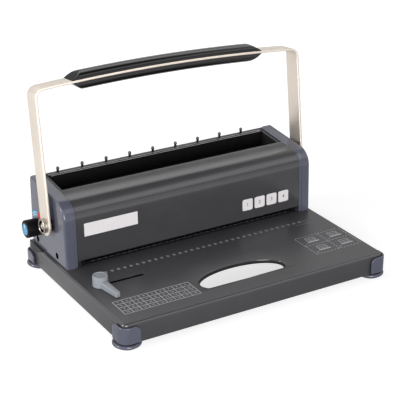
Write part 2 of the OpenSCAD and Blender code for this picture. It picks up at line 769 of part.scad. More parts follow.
module side_frame(side) color(bright_steel) on_side(side) difference() {
    union() {
        along_x(frame_in, frame_t) polygon(tower_outline(frame_inset, base_top));
        // Foot flange on the base
        block([frame_in - flange_w, frame_flange_y[0], base_top],
            [frame_in, frame_flange_y[1], base_top + flange_t]);
        // Rear flange for the rear cover
        block([frame_in - flange_w, frame_flange_y[1], base_top],
            [frame_in, frame_flange_y[1] + flange_t, rear_screw_z[1] + flange_over]);
    }
    rod_x(frame_in - cut, pivot_y, pivot_z, bush_d, frame_t + 2 * cut);
    for (y = cap_screw_y)
        rod_x(frame_in - cut, y, base_top + cap_screw_z, screw_d, frame_t + 2 * cut);
    for (y = frame_screw_y)
        rod_z(frame_screw_x, y, base_top - cut, screw_d, flange_t + 2 * cut);
    for (z = rear_screw_z)
        translate([frame_screw_x, cover_back, z]) rotate([90, 0, 0])
            cylinder(d = screw_d, h = flange_w / 2);
    if (side < 0)
        rod_x(frame_in - cut, knob_y, knob_axis_z, selector_bush_d, frame_t + 2 * cut);
}

module left_side_frame() side_frame(-1);
module right_side_frame() side_frame(1);

module frame_screws() color(bright_steel)
    both_sides() for (y = frame_screw_y)
        screw([frame_screw_x, y, base_top + flange_t], [0, 0, 0], flange_t + base_t);

// Row of square holes for the punches
module punch_holes(side, z, h)
    for (i = [0:hole_count - 1])
        translate([i * hole_pitch - row_half - side / 2, punch_y - side / 2, z]) cube([side, side, h]);

// Upper and lower plates of the throat
module throat_plate(z, h) difference() {
    block([-plate_half, plate_y0, z], [plate_half, plate_y1, z + h]);
    punch_holes(punch_side + 2 * punch_fit, z - cut, h + 2 * cut);
    both_sides() for (y = die_screw_y)
        rod_z(die_screw_x, y, z - cut, screw_d, h + 2 * cut);
}

module die_plate() color(bright_steel) throat_plate(base_top, die_t);

module stripper_plate() color(bright_steel) difference() {
    throat_plate(stripper_z, stripper_t);
    both_sides() rod_z(post_x, punch_y, stripper_z - cut, post_d, stripper_t + 2 * cut);
}

module throat_spacers() color(bright_steel) both_sides() difference() {
    block([plate_half - spacer_w, plate_y0, die_top], [plate_half, plate_y1, stripper_z]);
    for (y = die_screw_y)
        rod_z(die_screw_x, y, die_top - cut, screw_d, throat_h + 2 * cut);
}

module paper_stop() color(bright_steel)
    block([spacer_w - plate_half, punch_y + hole_margin, die_top],
        [plate_half - spacer_w, punch_y + hole_margin + stop_d, stripper_z]);

module die_screws() color(bright_steel)
    both_sides() for (y = die_screw_y)
        screw([die_screw_x, y, stripper_top], [0, 0, 0], stripper_top - base_under);

module guide_posts() color(bright_steel)
    both_sides() rod_z(post_x, punch_y, stripper_z, post_d, post_top - stripper_z);

// Round wire wound along Z about a post, from z0 to z1
module coil(x, y, z0, z1) {
    rise = z1 - z0 - spring_wire;
    steps = 16 * spring_turns;
    sides = 8;
    points = [for (i = [0:steps], j = [0:sides - 1])
        let (a = 360 * spring_turns * i / steps, b = 360 * j / sides,
             r = spring_r + spring_wire / 2 * cos(b))
        [x + r * cos(a), y + r * sin(a), z0 + spring_wire / 2 * (1 + sin(b)) + rise * i / steps]];
    walls = [for (i = [0:steps - 1], j = [0:sides - 1])
        let (k = (j + 1) % sides, p = i * sides, q = p + sides)
        each [[p + j, q + j, q + k], [p + j, q + k, p + k]]];
    ends = [for (j = [1:sides - 2]) each [
        [0, j, j + 1], [steps * sides, steps * sides + j + 1, steps * sides + j]]];
    polyhedron(points, concat(walls, ends));
}

module punch_springs() color(bright_steel)
    for (s = [-1, 1]) coil(s * post_x, punch_y, stripper_top + seat_fit, bar_z - seat_fit);

// Flanged bush in a side frame; l is how far it reaches inwards of the frame
module frame_bush(y, z, outer, inner, l) color(bronze) difference() {
    union() {
        rod_x(frame_in - l, y, z, outer, frame_t + l);
        rod_x(frame_out, y, z, outer + 6, bush_flange);
    }
    rod_x(frame_in - l - cut, y, z, inner, frame_t + l + bush_flange + 2 * cut);
}

module shaft_bush() frame_bush(pivot_y, pivot_z, bush_d, shaft_d + 2 * run_fit, 2);
module left_shaft_bush() on_side(-1) shaft_bush();
module right_shaft_bush() on_side(1) shaft_bush();
module selector_bush() on_side(-1)
    frame_bush(knob_y, knob_axis_z, selector_bush_d, selector_d + 2 * run_fit, 2);

// Trough floor and front wall in one folded sheet
module closing_channel() color(black_steel) {
    block([-channel_half, trough_y0 + cover_t, channel_z],
        [channel_half, rail_web_y, channel_z + channel_t]);
    block([-frame_in, trough_y0 + seat_fit, channel_z],
        [frame_in, trough_y0 + seat_fit + channel_t, top_z(trough_y0) - cover_lip]);
}

module fixed_jaw() color(black_steel)
    block([-channel_half, fixed_jaw_y, channel_z + channel_t],
        [channel_half, fixed_jaw_y + fixed_jaw_d, channel_z + channel_t + fixed_jaw_h]);

// Ledges on the frames that carry the jaw racks
module jaw_slides() color(bright_steel) both_sides()
    block([slide_x, jaw_rack_front - jaw_stroke, jaw_rack_z0 - slide_fit - ledge_h],
        [frame_in, jaw_y1, jaw_rack_z0 - slide_fit]);

module wire_hanger_rail() color(black_steel) difference() {
    union() {
        block([-frame_in, rail_web_y, rail_top - rail_h], [frame_in, rail_web_y + rail_t, rail_top]);
        block([-frame_in, rail_y0, rail_top - rail_t], [frame_in, rail_y1, rail_top]);
    }
    for (i = [0:pin_count - 1])
        rod_z(pin_x(i), pin_y, rail_top - pin_seat, pin_d, pin_seat + cut);
}

function pin_x(i) = pin_shift + (i - (pin_count - 1) / 2) * pin_pitch;
module wire_hanger_pins() color(black_steel)
    for (i = [0:pin_count - 1]) translate([pin_x(i), pin_y, rail_top]) {
        translate([0, 0, -pin_seat]) cylinder(d = pin_d, h = pin_seat + pin_h - pin_head_d);
        translate([0, 0, pin_h - pin_head_d * 1.2]) cylinder(d = pin_head_d, h = pin_head_d * 0.7);
        translate([0, 0, pin_h - pin_head_d / 2]) sphere(d = pin_head_d);
    }

// Angle rails below the base that carry the chip tray
module tray_runners() color(bright_steel) both_sides() {
    block([runner_x, tray_y0, foot_drop + 0.5], [runner_x + runner_t, notch_y - slide_fit, base_under]);
    block([runner_x, notch_y - cut, foot_drop + 0.5], [runner_x + runner_t, tray_y1 - tray_t, foot_top]);
    block([runner_x + runner_t - runner_w, tray_y0, foot_drop + 0.5],
        [runner_x + runner_t, tray_y1 - tray_t, foot_drop + 0.5 + runner_t]);
}

// Right half of the handle's line in its own plane, offset by o from the bar's middle
function handle_line(o) = concat(
    arc(0, arch_z, arch_r + o, 90, bend_turn, 12), arc(bend_x, bend_z, bend_mid + o, bend_turn, 0, 10),
    [[arm_mid + o, bar_w], [arm_mid + o, 0]]);
function mirrored(list) = [for (p = list) [-p[0], p[1]]];
// The whole U, from the left arm over the crossbar to the right arm
function handle_u(o) = concat(reversed(mirrored(handle_line(o))), handle_line(o));

// Handle outline with its crossbar out of level: the arms' upper parts lean and differ in length
function racked(list) = [for (p = list) let (f = min(1, max(0, (p[1] - bar_w) / (bend_z - bar_w))))
    [p[0] - bar_shift * f, p[1] - tan(bar_tilt) * p[0] * f]];

// Places the children in the handle's leaning plane, with the pivot at the origin
module handle_frame() translate([0, pivot_y, pivot_z]) rotate([-handle_lean, 0, 0]) children();

module handle_bar() color(cream_nickel) handle_frame() difference() {
    union() {
        translate([0, bar_w / 2, 0]) rotate([90, 0, 0]) linear_extrude(bar_w)
            polygon(racked(concat(handle_u(bar_t / 2), reversed(handle_u(-bar_t / 2)))));
        both_sides() rod_x(arm_in, 0, 0, bar_w, bar_t);
    }
    both_sides() translate([arm_in - cut, -shaft_sq / 2, -shaft_sq / 2])
        cube([bar_t + 2 * cut, shaft_sq, shaft_sq]);
}

// Half-oval shell along the arched crossbar; side +1 is above the bar, -1 below it
module grip_shell(side, h) color(gloss_black) handle_frame()
    translate([-bar_shift, 0, handle_reach]) rotate([0, bar_tilt, 0]) translate([0, 0, -arch_r])
    rotate([0, -left_turn, 0]) translate([0, 0, -arch_z]) difference() {
        translate([0, 0, arch_z]) rotate([90, 0, 0]) rotate([0, 0, 90 - grip_turn])
            rotate_extrude(angle = 2 * grip_turn, $fn = 360)
                polygon([for (i = [0:16]) let (a = 180 * i / 16)
                    [arch_r + side * (bar_t / 2 + grip_seat + h * pow(sin(a), 0.7)), grip_w / 2 * cos(a)]]);
        // Sloped ends
        both_sides() translate([grip_l / 2, 0, grip_drop + side * bar_t / 2])
            rotate([0, -side * atan(grip_end / h), 0]) translate([0, -grip_w, -grip_l / 2])
                cube([grip_l, 2 * grip_w, grip_l]);
    }

module grip_upper() grip_shell(1, grip_up);
module grip_lower() grip_shell(-1, grip_down);

module drive_shaft() color(bright_steel) difference() {
    union() {
        rod_x(-arm_in, pivot_y, pivot_z, shaft_d, 2 * arm_in);
        handle_frame()
            block([-arm_out, -shaft_sq / 2, -shaft_sq / 2], [arm_out, shaft_sq / 2, shaft_sq / 2]);
    }
    both_sides() rod_x(arm_out - bolt_depth, pivot_y, pivot_z, bolt_d, bolt_depth + cut);
}

module pivot_washers() color(bright_steel) both_sides() difference() {
    rod_x(arm_out, pivot_y, pivot_z, washer_d, washer_t);
    rod_x(arm_out - cut, pivot_y, pivot_z, bolt_d, washer_t + 2 * cut);
}

module pivot_bolts() color(bright_steel) both_sides() difference() {
    union() {
        rod_x(arm_out + washer_t, pivot_y, pivot_z, bolt_head_d, bolt_head_h);
        rod_x(arm_out - bolt_depth, pivot_y, pivot_z, bolt_d, bolt_depth + washer_t);
    }
    translate([arm_out + washer_t + bolt_head_h - socket_depth, pivot_y, pivot_z]) rotate([0, 90, 0])
        cylinder(d = socket_d, h = socket_depth + cut, $fn = 6);
}

// Gear on the drive shaft from x, with a gap towards the direction "gap"
module shaft_gear(x, l, teeth, gap) difference() {
    translate([0, pivot_y, pivot_z]) along_x(x, l) polygon(gear_points(teeth, gap));
    rod_x(x - cut, pivot_y, pivot_z, shaft_d, l + 2 * cut);
}

module punch_pinions() color(bright_steel) both_sides()
    shaft_gear(punch_rack_x - gear_w / 2, gear_w, punch_teeth, 180);

module jaw_gears() color(bright_steel) both_sides() shaft_gear(gear_x, gear_w, jaw_teeth, 90);

module punch_bar() color(bright_steel) difference() {
    block([-bar_half, punch_y - punch_bar_d / 2, bar_z], [bar_half, punch_y + punch_bar_d / 2, bar_top]);
    punch_holes(punch_side, bar_z - cut, punch_root - bar_z + cut);
    both_sides() rod_z(post_x, punch_y, bar_z - cut, post_d + 2 * run_fit, punch_bar_h + 2 * cut);
}

module punches() color(bright_steel) punch_holes(punch_side, tip_z, punch_root - tip_z);

// Upright racks on the back of the punch bar, in mesh with the pinions
module punch_racks() color(bright_steel) both_sides()
    translate([0, pivot_y - punch_r, pivot_z]) along_x(punch_rack_x - gear_w / 2, gear_w)
        polygon(rack_points(rack_back, bar_z - pivot_z, rack_top - pivot_z, -1, rack_last));

// Plate that closes the wire, with a leg down to each rack
module moving_jaw() color(black_steel) {
    block([jaw_end - frame_in, jaw_y0, jaw_floor], [frame_in - jaw_end, jaw_y1, top_z(jaw_y0) - 1]);
    both_sides() block([gear_x, jaw_y0, jaw_rack_z1], [gear_x1, jaw_y1, jaw_floor]);
}

// Level racks above the jaw gears, with a runner on the outside
module jaw_racks() color(bright_steel) both_sides() {
    translate([0, pivot_y, pivot_z + jaw_r]) along_x(gear_x, gear_w)
        polygon([for (p = rack_points(jaw_rack_h, jaw_rack_front - pivot_y, jaw_y1 - pivot_y, -1,
            jaw_rack_last)) [p[1], -p[0]]]);
    block([gear_x1, jaw_rack_front, jaw_rack_z0], [runner_x1, jaw_y1, jaw_rack_z1]);
}

// Tapered knob with a shallow seat for its disc
module selector_knob() color(soft_black) on_side(-1) difference() {
    translate([knob_x0, knob_y, knob_axis_z]) rotate([0, 90, 0])
        cylinder(d1 = knob_d, d2 = knob_end_d, h = knob_l - disc_t / 2);
    rod_x(knob_end - disc_t, knob_y, knob_axis_z, disc_d, disc_t + cut);
    rod_x(knob_x0 - cut, knob_y, knob_axis_z, selector_d, knob_l * 0.7 + cut);
}

module knob_disc() color(sky_blue) on_side(-1)
    rod_x(knob_end - disc_t, knob_y, knob_axis_z, disc_d, disc_t);

module selector_shaft() color(bright_steel) on_side(-1)
    rod_x(cam_x - cam_w - 2, knob_y, knob_axis_z, selector_d, knob_x0 + knob_l * 0.7 - cam_x + cam_w + 2);

// Snail cam on the selector shaft: its radius grows evenly over one turn
module selector_cam() color(bright_steel) on_side(-1) difference() {
    translate([0, knob_y, knob_axis_z]) along_x(cam_x - cam_w, cam_w)
        polygon([for (i = [0:48]) let (a = 360 * i / 48, r = cam_low + (cam_high - cam_low) * i / 48)
            [r * cos(a), r * sin(a)]]);
    rod_x(cam_x - cam_w - cut, knob_y, knob_axis_z, selector_d, cam_w + 2 * cut);
}

// Pressed channel on the sheet's underside that closes the slot from below
module guide_channel() color(black_steel) {
    x0 = guide_x - shoe_half_l - slide_fit;
    x1 = slot_x0 + slot_l + 2 + slide_fit;
    half = shoe_half_w + slide_fit;
    difference() {
        block([x0 - guide_sheet, slot_y - half - guide_sheet, shoe_z - slide_fit - guide_sheet],
            [x1 + guide_sheet, slot_y + half + guide_sheet, base_under]);
        block([x0, slot_y - half, shoe_z - slide_fit], [x1, slot_y + half, base_under + cut]);
    }
}

module guide_slider() color(guide_grey) {
    block([guide_x - shoe_half_l, slot_y - shoe_half_w, shoe_z],
        [guide_x + shoe_half_l, slot_y + shoe_half_w, base_under - seat_fit]);
    block([guide_x - neck_l / 2, slot_y - slot_w / 2 + seat_fit, base_under - seat_fit],
        [guide_x + neck_l / 2, slot_y + slot_w / 2 - seat_fit, base_top + seat_fit]);
    rod_z(guide_x, slot_y, base_top + seat_fit, guide_pin_d, guide_pin_top - base_top - seat_fit);
}

// Turret with its sloped clamp lever
module guide_lever() color(guide_grey) translate([guide_x, slot_y, base_top + slide_fit]) difference() {
    union() {
        cylinder(d = turret_d, h = turret_h - slide_fit);
        rotate([0, 0, lever_turn - 90]) intersection() {
            linear_extrude(lever_root_h) polygon([
                [0, -lever_root_w / 2], [lever_l, -lever_tip_w / 2], [lever_l, lever_tip_w / 2],
                [0, lever_root_w / 2]]);
            translate([0, lever_root_w, 0]) rotate([90, 0, 0]) linear_extrude(2 * lever_root_w)
                polygon([[0, 0], [lever_l, 0], [lever_l, lever_tip_h], [0, lever_root_h]]);
        }
    }
    translate([0, 0, -cut])
        cylinder(d = guide_pin_d + 2 * run_fit, h = guide_pin_top - base_top + cut);
}

// Floor of the bin below the die
module chip_tray() color(soft_black)
    block([-tray_half, tray_y0, tray_z0], [tray_half, tray_y1, tray_floor]);

// Front and rear walls of the bin, which stand on its floor
module tray_long_walls() color(soft_black) {
    block([-tray_half, tray_y0, tray_floor], [tray_half, tray_y0 + tray_t, tray_top]);
    block([-tray_half, tray_y1 - tray_t, tray_floor], [tray_half, tray_y1, tray_top]);
}

// Walls at the bin's ends, between its long walls
module tray_end_walls() color(soft_black) both_sides()
    block([tray_half - tray_t, tray_y0 + tray_t, tray_floor], [tray_half, tray_y1 - tray_t, tray_top]);

// Ears at the bin's sides that fill the notches above the rear feet, flush with the base
module tray_ears() color(soft_black) both_sides() intersection() {
    union() {
        along_x(tray_half, base_w / 2 - tray_half)
            polygon(notch_area(foot_top + slide_fit, tray_top, base_d / 2, ear_gap));
        along_x(cap_out + 2 * slide_fit, tower_side)
            polygon(notch_area(foot_top + slide_fit, base_top - ear_in, base_d / 2, ear_gap));
    }
    plate(rounded(base_w - 2 * ear_in, base_d - 2 * ear_in, base_r - ear_in), foot_top, foot_below);
}

base_pan();
foot_front_left();
foot_front_right();
foot_rear_left();
foot_rear_right();
foot_pads();
foot_screws();
front_cover();
rear_cover();
rear_cover_screws();
left_end_cap();
right_end_cap();
cap_screws();
left_side_frame();
right_side_frame();
frame_screws();
die_plate();
stripper_plate();
throat_spacers();
paper_stop();
die_screws();
guide_posts();
punch_springs();
left_shaft_bush();
right_shaft_bush();
selector_bush();
closing_channel();
fixed_jaw();
jaw_slides();
wire_hanger_rail();
wire_hanger_pins();
tray_runners();
handle_bar();
grip_upper();
grip_lower();
drive_shaft();
pivot_washers();
pivot_bolts();
punch_pinions();
jaw_gears();
punch_bar();
punches();
punch_racks();
moving_jaw();
jaw_racks();
selector_knob();
knob_disc();
selector_shaft();
selector_cam();
guide_channel();
guide_slider();
guide_lever();
chip_tray();
tray_long_walls();
tray_end_walls();
tray_ears();
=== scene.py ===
"""Looks of a manual wire binding machine, laid over its CAD frame.

Every piece is in metres in the frame's own axes: +X to the right, +Y to the back, +Z up.
"""
import json

import bmesh
import bpy
import numpy as np
from bpy.props import FloatProperty, FloatVectorProperty, IntProperty, PointerProperty
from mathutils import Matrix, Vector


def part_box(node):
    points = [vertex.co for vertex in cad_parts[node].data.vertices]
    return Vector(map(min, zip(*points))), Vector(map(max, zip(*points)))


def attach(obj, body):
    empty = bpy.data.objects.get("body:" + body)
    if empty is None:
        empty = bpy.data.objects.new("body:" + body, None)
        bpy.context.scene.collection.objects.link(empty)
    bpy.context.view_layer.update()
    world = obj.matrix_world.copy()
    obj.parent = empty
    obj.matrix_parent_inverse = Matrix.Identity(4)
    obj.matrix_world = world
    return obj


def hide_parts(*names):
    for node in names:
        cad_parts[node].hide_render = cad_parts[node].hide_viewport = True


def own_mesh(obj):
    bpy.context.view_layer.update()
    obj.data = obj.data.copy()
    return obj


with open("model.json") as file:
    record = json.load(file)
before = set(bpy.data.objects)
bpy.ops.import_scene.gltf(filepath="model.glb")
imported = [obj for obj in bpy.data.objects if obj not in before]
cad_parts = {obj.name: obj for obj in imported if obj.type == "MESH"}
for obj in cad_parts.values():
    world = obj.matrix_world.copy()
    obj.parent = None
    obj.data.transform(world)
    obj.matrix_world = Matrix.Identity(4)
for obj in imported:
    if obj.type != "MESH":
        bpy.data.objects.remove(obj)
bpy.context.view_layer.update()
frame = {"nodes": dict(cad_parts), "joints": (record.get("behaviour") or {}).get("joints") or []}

bl_info = {
    "name": "Wire binding machine",
    "version": (1, 0, 0),
    "blender": (4, 5, 0),
    "location": "3D View > Sidebar > Binder",
    "description": "Builds the visible pieces and finishes of a wire binding machine over its CAD frame",
    "category": "Object",
}

MM = 0.001
QUARTER = np.pi / 2
X, Y, Z = np.eye(3)
BODY = "chassis"
# Edges bent by more than this many degrees stay sharp
SHARP = 38
# Points closer than this many metres are one
TINY = 1e-7


def linear(colour):
    """sRGB hex to a linear colour with alpha 1, by the sRGB curve."""
    c = np.array([int(colour[i:i + 2], 16) for i in (1, 3, 5)]) / 255
    c = np.where(c <= 0.04045, c / 12.92, ((c + 0.055) / 1.055) ** 2.4)
    return (*c.tolist(), 1.0)


def node_box(name):
    """Lowest and highest corner of a CAD node, as arrays."""
    low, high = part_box(name)
    return np.array(low), np.array(high)


def joint(name):
    """The frame's joint of that name."""
    return next(j for j in frame["joints"] if j["name"] == name)


PAN = node_box("base_pan")
TOP = PAN[1][2]
CAP = node_box("right_end_cap")
COVER = node_box("front_cover")
PIVOT = np.array(joint("handle_swing")["pos_m"])
KNOB = np.array(joint("selector_turn")["pos_m"])
TURRET = np.array(joint("guide_lever_turn")["pos_m"])


def length(title, about, millimetres):
    """A length property, given in millimetres and kept in metres."""
    return FloatProperty(name=title, description=about, default=millimetres * MM, min=0, subtype="DISTANCE",
                         unit="LENGTH", precision=5)


def turning(title, about, degrees):
    """An angle property, given in degrees."""
    return FloatProperty(name=title, description=about, default=np.radians(degrees), subtype="ANGLE",
                         unit="ROTATION")


def amount(title, about, value, unit="NONE"):
    """A plain number, or a lamp's power in watts."""
    return FloatProperty(name=title, description=about, default=value, unit=unit)


def paint(title, about, value):
    """A colour property from an sRGB hex value."""
    return FloatVectorProperty(name=title, description=about, default=linear(value), size=4, min=0, max=1,
                               subtype="COLOR")


class BaseSizes(bpy.types.PropertyGroup):
    """Sizes of the base and its feet"""
    fold: length("Fold radius", "Outer radius of the folded sheet's edge", 3.2)
    sheet: length("Sheet", "Thickness of the base's sheet", 1.5)
    corner: length("Corner radius", "Radius of the base's corners seen from above", 6)
    opening_a: length("Opening half width", "Half width of the finger opening", 58)
    opening_b: length("Opening half depth", "Half depth of the opening's ellipse", 27)
    opening_in: length("Opening place", "Base's front edge to the ellipse's centre", 40)
    opening_flat: length("Opening's straight edge", "Base's front edge to the straight edge", 28)
    opening_r: length("Opening corners", "Radius of the opening's two corners", 4)
    opening_rim: length("Opening rim", "Depth of the rim turned down round the opening", 4)
    opening_fold: length("Opening fold", "Radius of the fold at the opening's rim", 1.2)
    slot_w: length("Guide slot width", "Width of the guide slot", 4)
    slot_l: length("Guide slot length", "Length of the guide slot", 62.5)
    foot_wall: length("Foot wall", "Thickness of a foot's wall", 2)
    foot_stand: length("Foot stand", "Skirt to the outer face of a foot's wall", 4)
    foot_corner: length("Foot corner", "Radius of a foot's corner seen from above", 11.5)
    foot_round: length("Foot end radius", "Radius of the wall's upper corners", 7.5)
    foot_rise: length("Front foot rise", "How far the front feet's walls reach above their cores", 1.4)
    foot_drop: length("Rear foot drop", "How far the rear feet's walls stay below their cores", 4.5)
    foot_groove: length("Foot groove", "Height of the gap between a foot's wall and its flange", 2.2)
    foot_leg: length("Foot leg", "Length of a foot's leg along the front or back edge", 20)
    foot_side: length("Foot side leg", "Length of a foot's leg along the base's side", 21)
    flange_r: length("Flange radius", "Radius of a foot's round flange", 17)
    flange_in: length("Flange place", "Base's side to the flange's centre", 10)
    # The pads are wider than the real ones, so that their black shows below the flanges as painted shade
    pad_and_shade_r: length("Pad radius", "Radius of the rubber pads", 14)
    ear_l: length("Ear length", "Length of the tray's ears along the base's side", 44)
    ear_slant: length("Ear slope", "How far the ears' lower front edge slopes back", 17)


class TowerSizes(bpy.types.PropertyGroup):
    """Sizes of the tower's covers and caps"""
    nose: length("Nose radius", "Radius of the tower's front nose", 22)
    nose_y: length("Nose depth place", "Depth of the nose's centre", 48)
    nose_z: length("Nose height", "Height of the nose's centre", 93)
    back: length("Back radius", "Radius at the top of the back", 5)
    slope: turning("Top slope", "Slope of the top, rising to the back", 4.8)
    cap_round: length("Cap edge radius", "Radius of the caps' outer edges", 2.6)
    cap_depth: length("Cap depth", "Depth of an end cap along X", 16)
    cap_wall: length("Cap wall", "Wall of an end cap", 2.5)
    cap_strip: length("Cap strip", "Width of the recessed strip along a cap's inner edge", 3.6)
    cap_sunk: length("Cap strip depth", "How far that strip lies below the cap's surface", 0.7)
    cover_inset: length("Cover inset", "How far the cover lies below the caps' rims", 1)
    cover_sheet: length("Cover sheet", "Thickness of the cover", 1.2)
    cover_lip: length("Cover lip", "Depth of the lip that is turned down into the trough", 5)


class HandleSizes(bpy.types.PropertyGroup):
    """Sizes of the handle and its grip"""
    reach: length("Reach", "Pivot to the middle of the crossbar", 171.6)
    lean: turning("Lean", "Lean of the resting handle to the back", 6.45)
    width: length("Bar width", "Width of the flat bar", 25)
    thick: length("Bar thickness", "Thickness of the flat bar", 3.2)
    arch: length("Arch radius", "Radius of the crossbar's arch", 2300)
    bend: length("Bend radius", "Inner radius of the corners", 9)
    tilt: turning("Tilt", "How far the crossbar falls to the right", 1)
    shift: length("Shift", "How far the crossbar stands left of the middle", 1.2)
    grip_l: length("Grip length", "Length of the grip shells", 264)
    grip_left: length("Grip place", "How far the grip sits left of the middle", 3.8)
    grip_w: length("Grip width", "Width of the grip shells", 24.6)
    grip_up: length("Upper shell", "Height of the upper grip shell", 8.5)
    grip_down: length("Lower shell", "Height of the lower grip shell", 11)
    grip_end: length("Grip ends", "Length of the sloped grip ends", 14)


class PrintSizes(bpy.types.PropertyGroup):
    """Sizes of the printed marks"""
    pitch: length("Hole pitch", "Pitch of the printed hole marks", 8.4667)
    holes: IntProperty(name="Hole marks", description="Number of printed hole marks", default=34, min=1)
    line: length("Line width", "Width of the printed lines", 0.8)


class Colours(bpy.types.PropertyGroup):
    """Colours of the finishes"""
    charcoal: paint("Charcoal paint", "Powder coat of the sheet steel", "#3f3e41")
    blue_grey: paint("Blue-grey ABS", "Moulded end caps and feet", "#535564")
    nickel: paint("Satin nickel", "Plated handle bar", "#ddd3c8")
    grip: paint("Grip", "Gloss black grip shells", "#0f0d0e")
    steel: paint("Steel", "Ground and machined steel", "#b9b9bb")
    tool_steel: paint("Tool steel", "Hardened punches, dies and gears", "#9c9c9f")
    zinc: paint("Zinc", "Plated screws and washers", "#a39d93")
    bronze: paint("Bronze", "Sintered bushes", "#a07a45")
    black_steel: paint("Black steel", "Lacquered rail, runners and frames", "#1d1d1f")
    # The phosphate's black also serves as painted shade: cut walls of slots and holes, the pivot cups' film,
    # the guide channel and the drive shaft
    phosphate: paint("Phosphate", "Phosphated jaws, channel and die", "#0e0c0d")
    oxide: paint("Black oxide", "Oxided hanger pins", "#4c4c4e")
    # The knob's black also serves as painted shade in the caps' screw wells
    knob: paint("Knob", "Moulded knob", "#0f0d10")
    disc: paint("Disc", "Disc on the knob", "#2f9ac6")
    guide: paint("Guide", "Moulded edge guide", "#8b9096")
    # The rubber's black is also painted shade on the opening's edging, behind the feet's walls and below
    # their flanges
    rubber: paint("Rubber", "Foot pads and edging", "#1b1b1c")
    tray: paint("Tray", "Moulded chip tray", "#17171a")
    ink: paint("Pale ink", "Printed table and pictures on the base", "#c6c4c7")
    faint_ink: paint("Faint ink", "Printed hole scale on the base", "#8a888b")
    label: paint("Label", "White labels", "#e4e0e2")
    dark_ink: paint("Dark ink", "Figures on the labels", "#3a393c")
    red: paint("Red ink", "Red part of the knob's scale", "#cf4438")


class StageSizes(bpy.types.PropertyGroup):
    """Camera and light"""
    focal: amount("Lens", "Focal length in mm on a 36 mm sensor", 114.49)
    pitch: turning("Camera pitch", "How far the camera looks down", 23.713)
    turn: turning("Camera turn", "How far the camera looks to the right of straight back", 30.732)
    key: amount("Key light", "Power of the lamp above the back", 3.0, "POWER")
    front: amount("Front light", "Power of the lamp beside the camera", 37.0, "POWER")
    side: amount("Side light", "Power of the lamp at the left", 16.0, "POWER")
    band: amount("Band", "Brightness of the studio's bright band in reflections", 1.7)
    sweep: amount("Sweep", "Brightness of the sweep, as a share of the band's", 0.52)
    gap: amount("Gap", "Brightness above the sweep, as a share of the band's", 0.16)
    ceiling: amount("Ceiling", "Brightness of the ceiling, as a share of the band's", 0.06)
    fill: amount("World", "Strength of the even surrounding light", 0.22)


def unit(vectors):
    """Rows of vectors, each made one long."""
    return vectors / np.linalg.norm(vectors, axis=1, keepdims=True)


def level(flat, z):
    """Flat points (x, y) in space, all at height z."""
    return np.c_[flat, np.full(len(flat), z)]


def arc(centre, radius, start, end, count=7):
    """Flat points on a circle about centre, evenly from the angle start to the angle end."""
    a = np.linspace(start, end, count)
    return np.asarray(centre) + radius * np.c_[np.cos(a), np.sin(a)]


def rectangle(x0, y0, x1, y1):
    """The four corners of a flat rectangle, in turn."""
    return np.array([[x0, y0], [x1, y0], [x1, y1], [x0, y1]], float)


def fillet(points, radius, steps=5):
    """Closed outline whose corners become tangent arcs, centred on each corner's bisector."""
    p = np.asarray(points, float)
    r = np.broadcast_to(np.asarray(radius, float), len(p))[:, None]
    a = unit(np.roll(p, 1, 0) - p)
    b = unit(np.roll(p, -1, 0) - p)
    half = np.arccos(np.clip((a * b).sum(1, keepdims=True), -1, 1)) / 2
    bend = np.maximum(np.pi - 2 * half, 1e-6)
    middle = (a + b) / np.maximum(np.linalg.norm(a + b, axis=1, keepdims=True), 1e-9)
    centre = p + middle * r / np.sin(half)
    start = p + a * r / np.tan(half) - centre
    end = p + b * r / np.tan(half) - centre
    t = np.linspace(0, 1, steps + 1)[None, :, None]
    w = bend[:, None]
    arcs = (np.sin((1 - t) * w) * start[:, None] + np.sin(t * w) * end[:, None]) / np.sin(w)
    return (centre[:, None] + arcs).reshape(-1, 2)


def strip(first, count):
    """Indices of a closed loop of count points that starts at first."""
    return list(range(first, first + count))


def surface(points, close_rows=False, close_columns=False, caps=False):
    """Quads over a grid of points [rows, columns, 3].

    caps closes the first and the last row with one face each.
    """
    rows, columns = points.shape[:2]
    i = np.arange(rows if close_rows else rows - 1)
    j = np.arange(columns if close_columns else columns - 1)
    i, j = np.meshgrid(i, j, indexing="ij")
    i2, j2 = (i + 1) % rows, (j + 1) % columns
    quads = np.stack([i * columns + j, i2 * columns + j, i2 * columns + j2, i * columns + j2], -1)
    faces = quads.reshape(-1, 4).tolist()
    if caps:
        faces += [strip(0, columns), strip((rows - 1) * columns, columns)]
    return points.reshape(-1, 3), faces


def joined(*shells):
    """Several surfaces as one list of points and faces."""
    starts = np.cumsum([0] + [len(points) for points, _ in shells])
    faces = [[k + start for k in face] for (_, some), start in zip(shells, starts) for face in some]
    return np.concatenate([points for points, _ in shells]), faces


def sweep(section, path, side, up):
    """A closed section (side, up) carried along a path, with a face at both ends.

    The section is [columns, 2], or [rows, columns, 2] where it changes along the path. side and up are
    unit vectors, one for the whole path or one at each of its points.
    """
    section = np.broadcast_to(section, (len(path), *np.shape(section)[-2:]))
    side = np.broadcast_to(side, path.shape)[:, None]
    up = np.broadcast_to(up, path.shape)[:, None]
    points = path[:, None] + section[..., :1] * side + section[..., 1:] * up
    return surface(points, close_columns=True, caps=True)


def lathe(profile, centre, axis, segments=64):
    """A profile of (radius, distance along the axis) turned about the axis through centre."""
    profile = np.asarray(profile, float)
    side = np.roll(axis, 1)
    up = np.cross(axis, side)
    turn = np.linspace(0, 2 * np.pi, segments, endpoint=False)
    ring = np.cos(turn)[:, None] * side + np.sin(turn)[:, None] * up
    points = centre + profile[:, None, :1] * ring + profile[:, None, 1:] * axis
    return surface(points, close_columns=True)


def rod(centre, x0, x1, r, side=1, segments=48):
    """A plain round rod along X through centre, on the right for side 1 and mirrored for side -1."""
    return lathe([[0, x0], [r, x0], [r, x1], [0, x1]], centre * [0, 1, 1], side * X, segments)


def box_shell(low, high):
    """The eight corners and six faces of a block."""
    ring = rectangle(*low[:2], *high[:2])
    return surface(np.stack([level(ring, low[2]), level(ring, high[2])]), close_columns=True, caps=True)


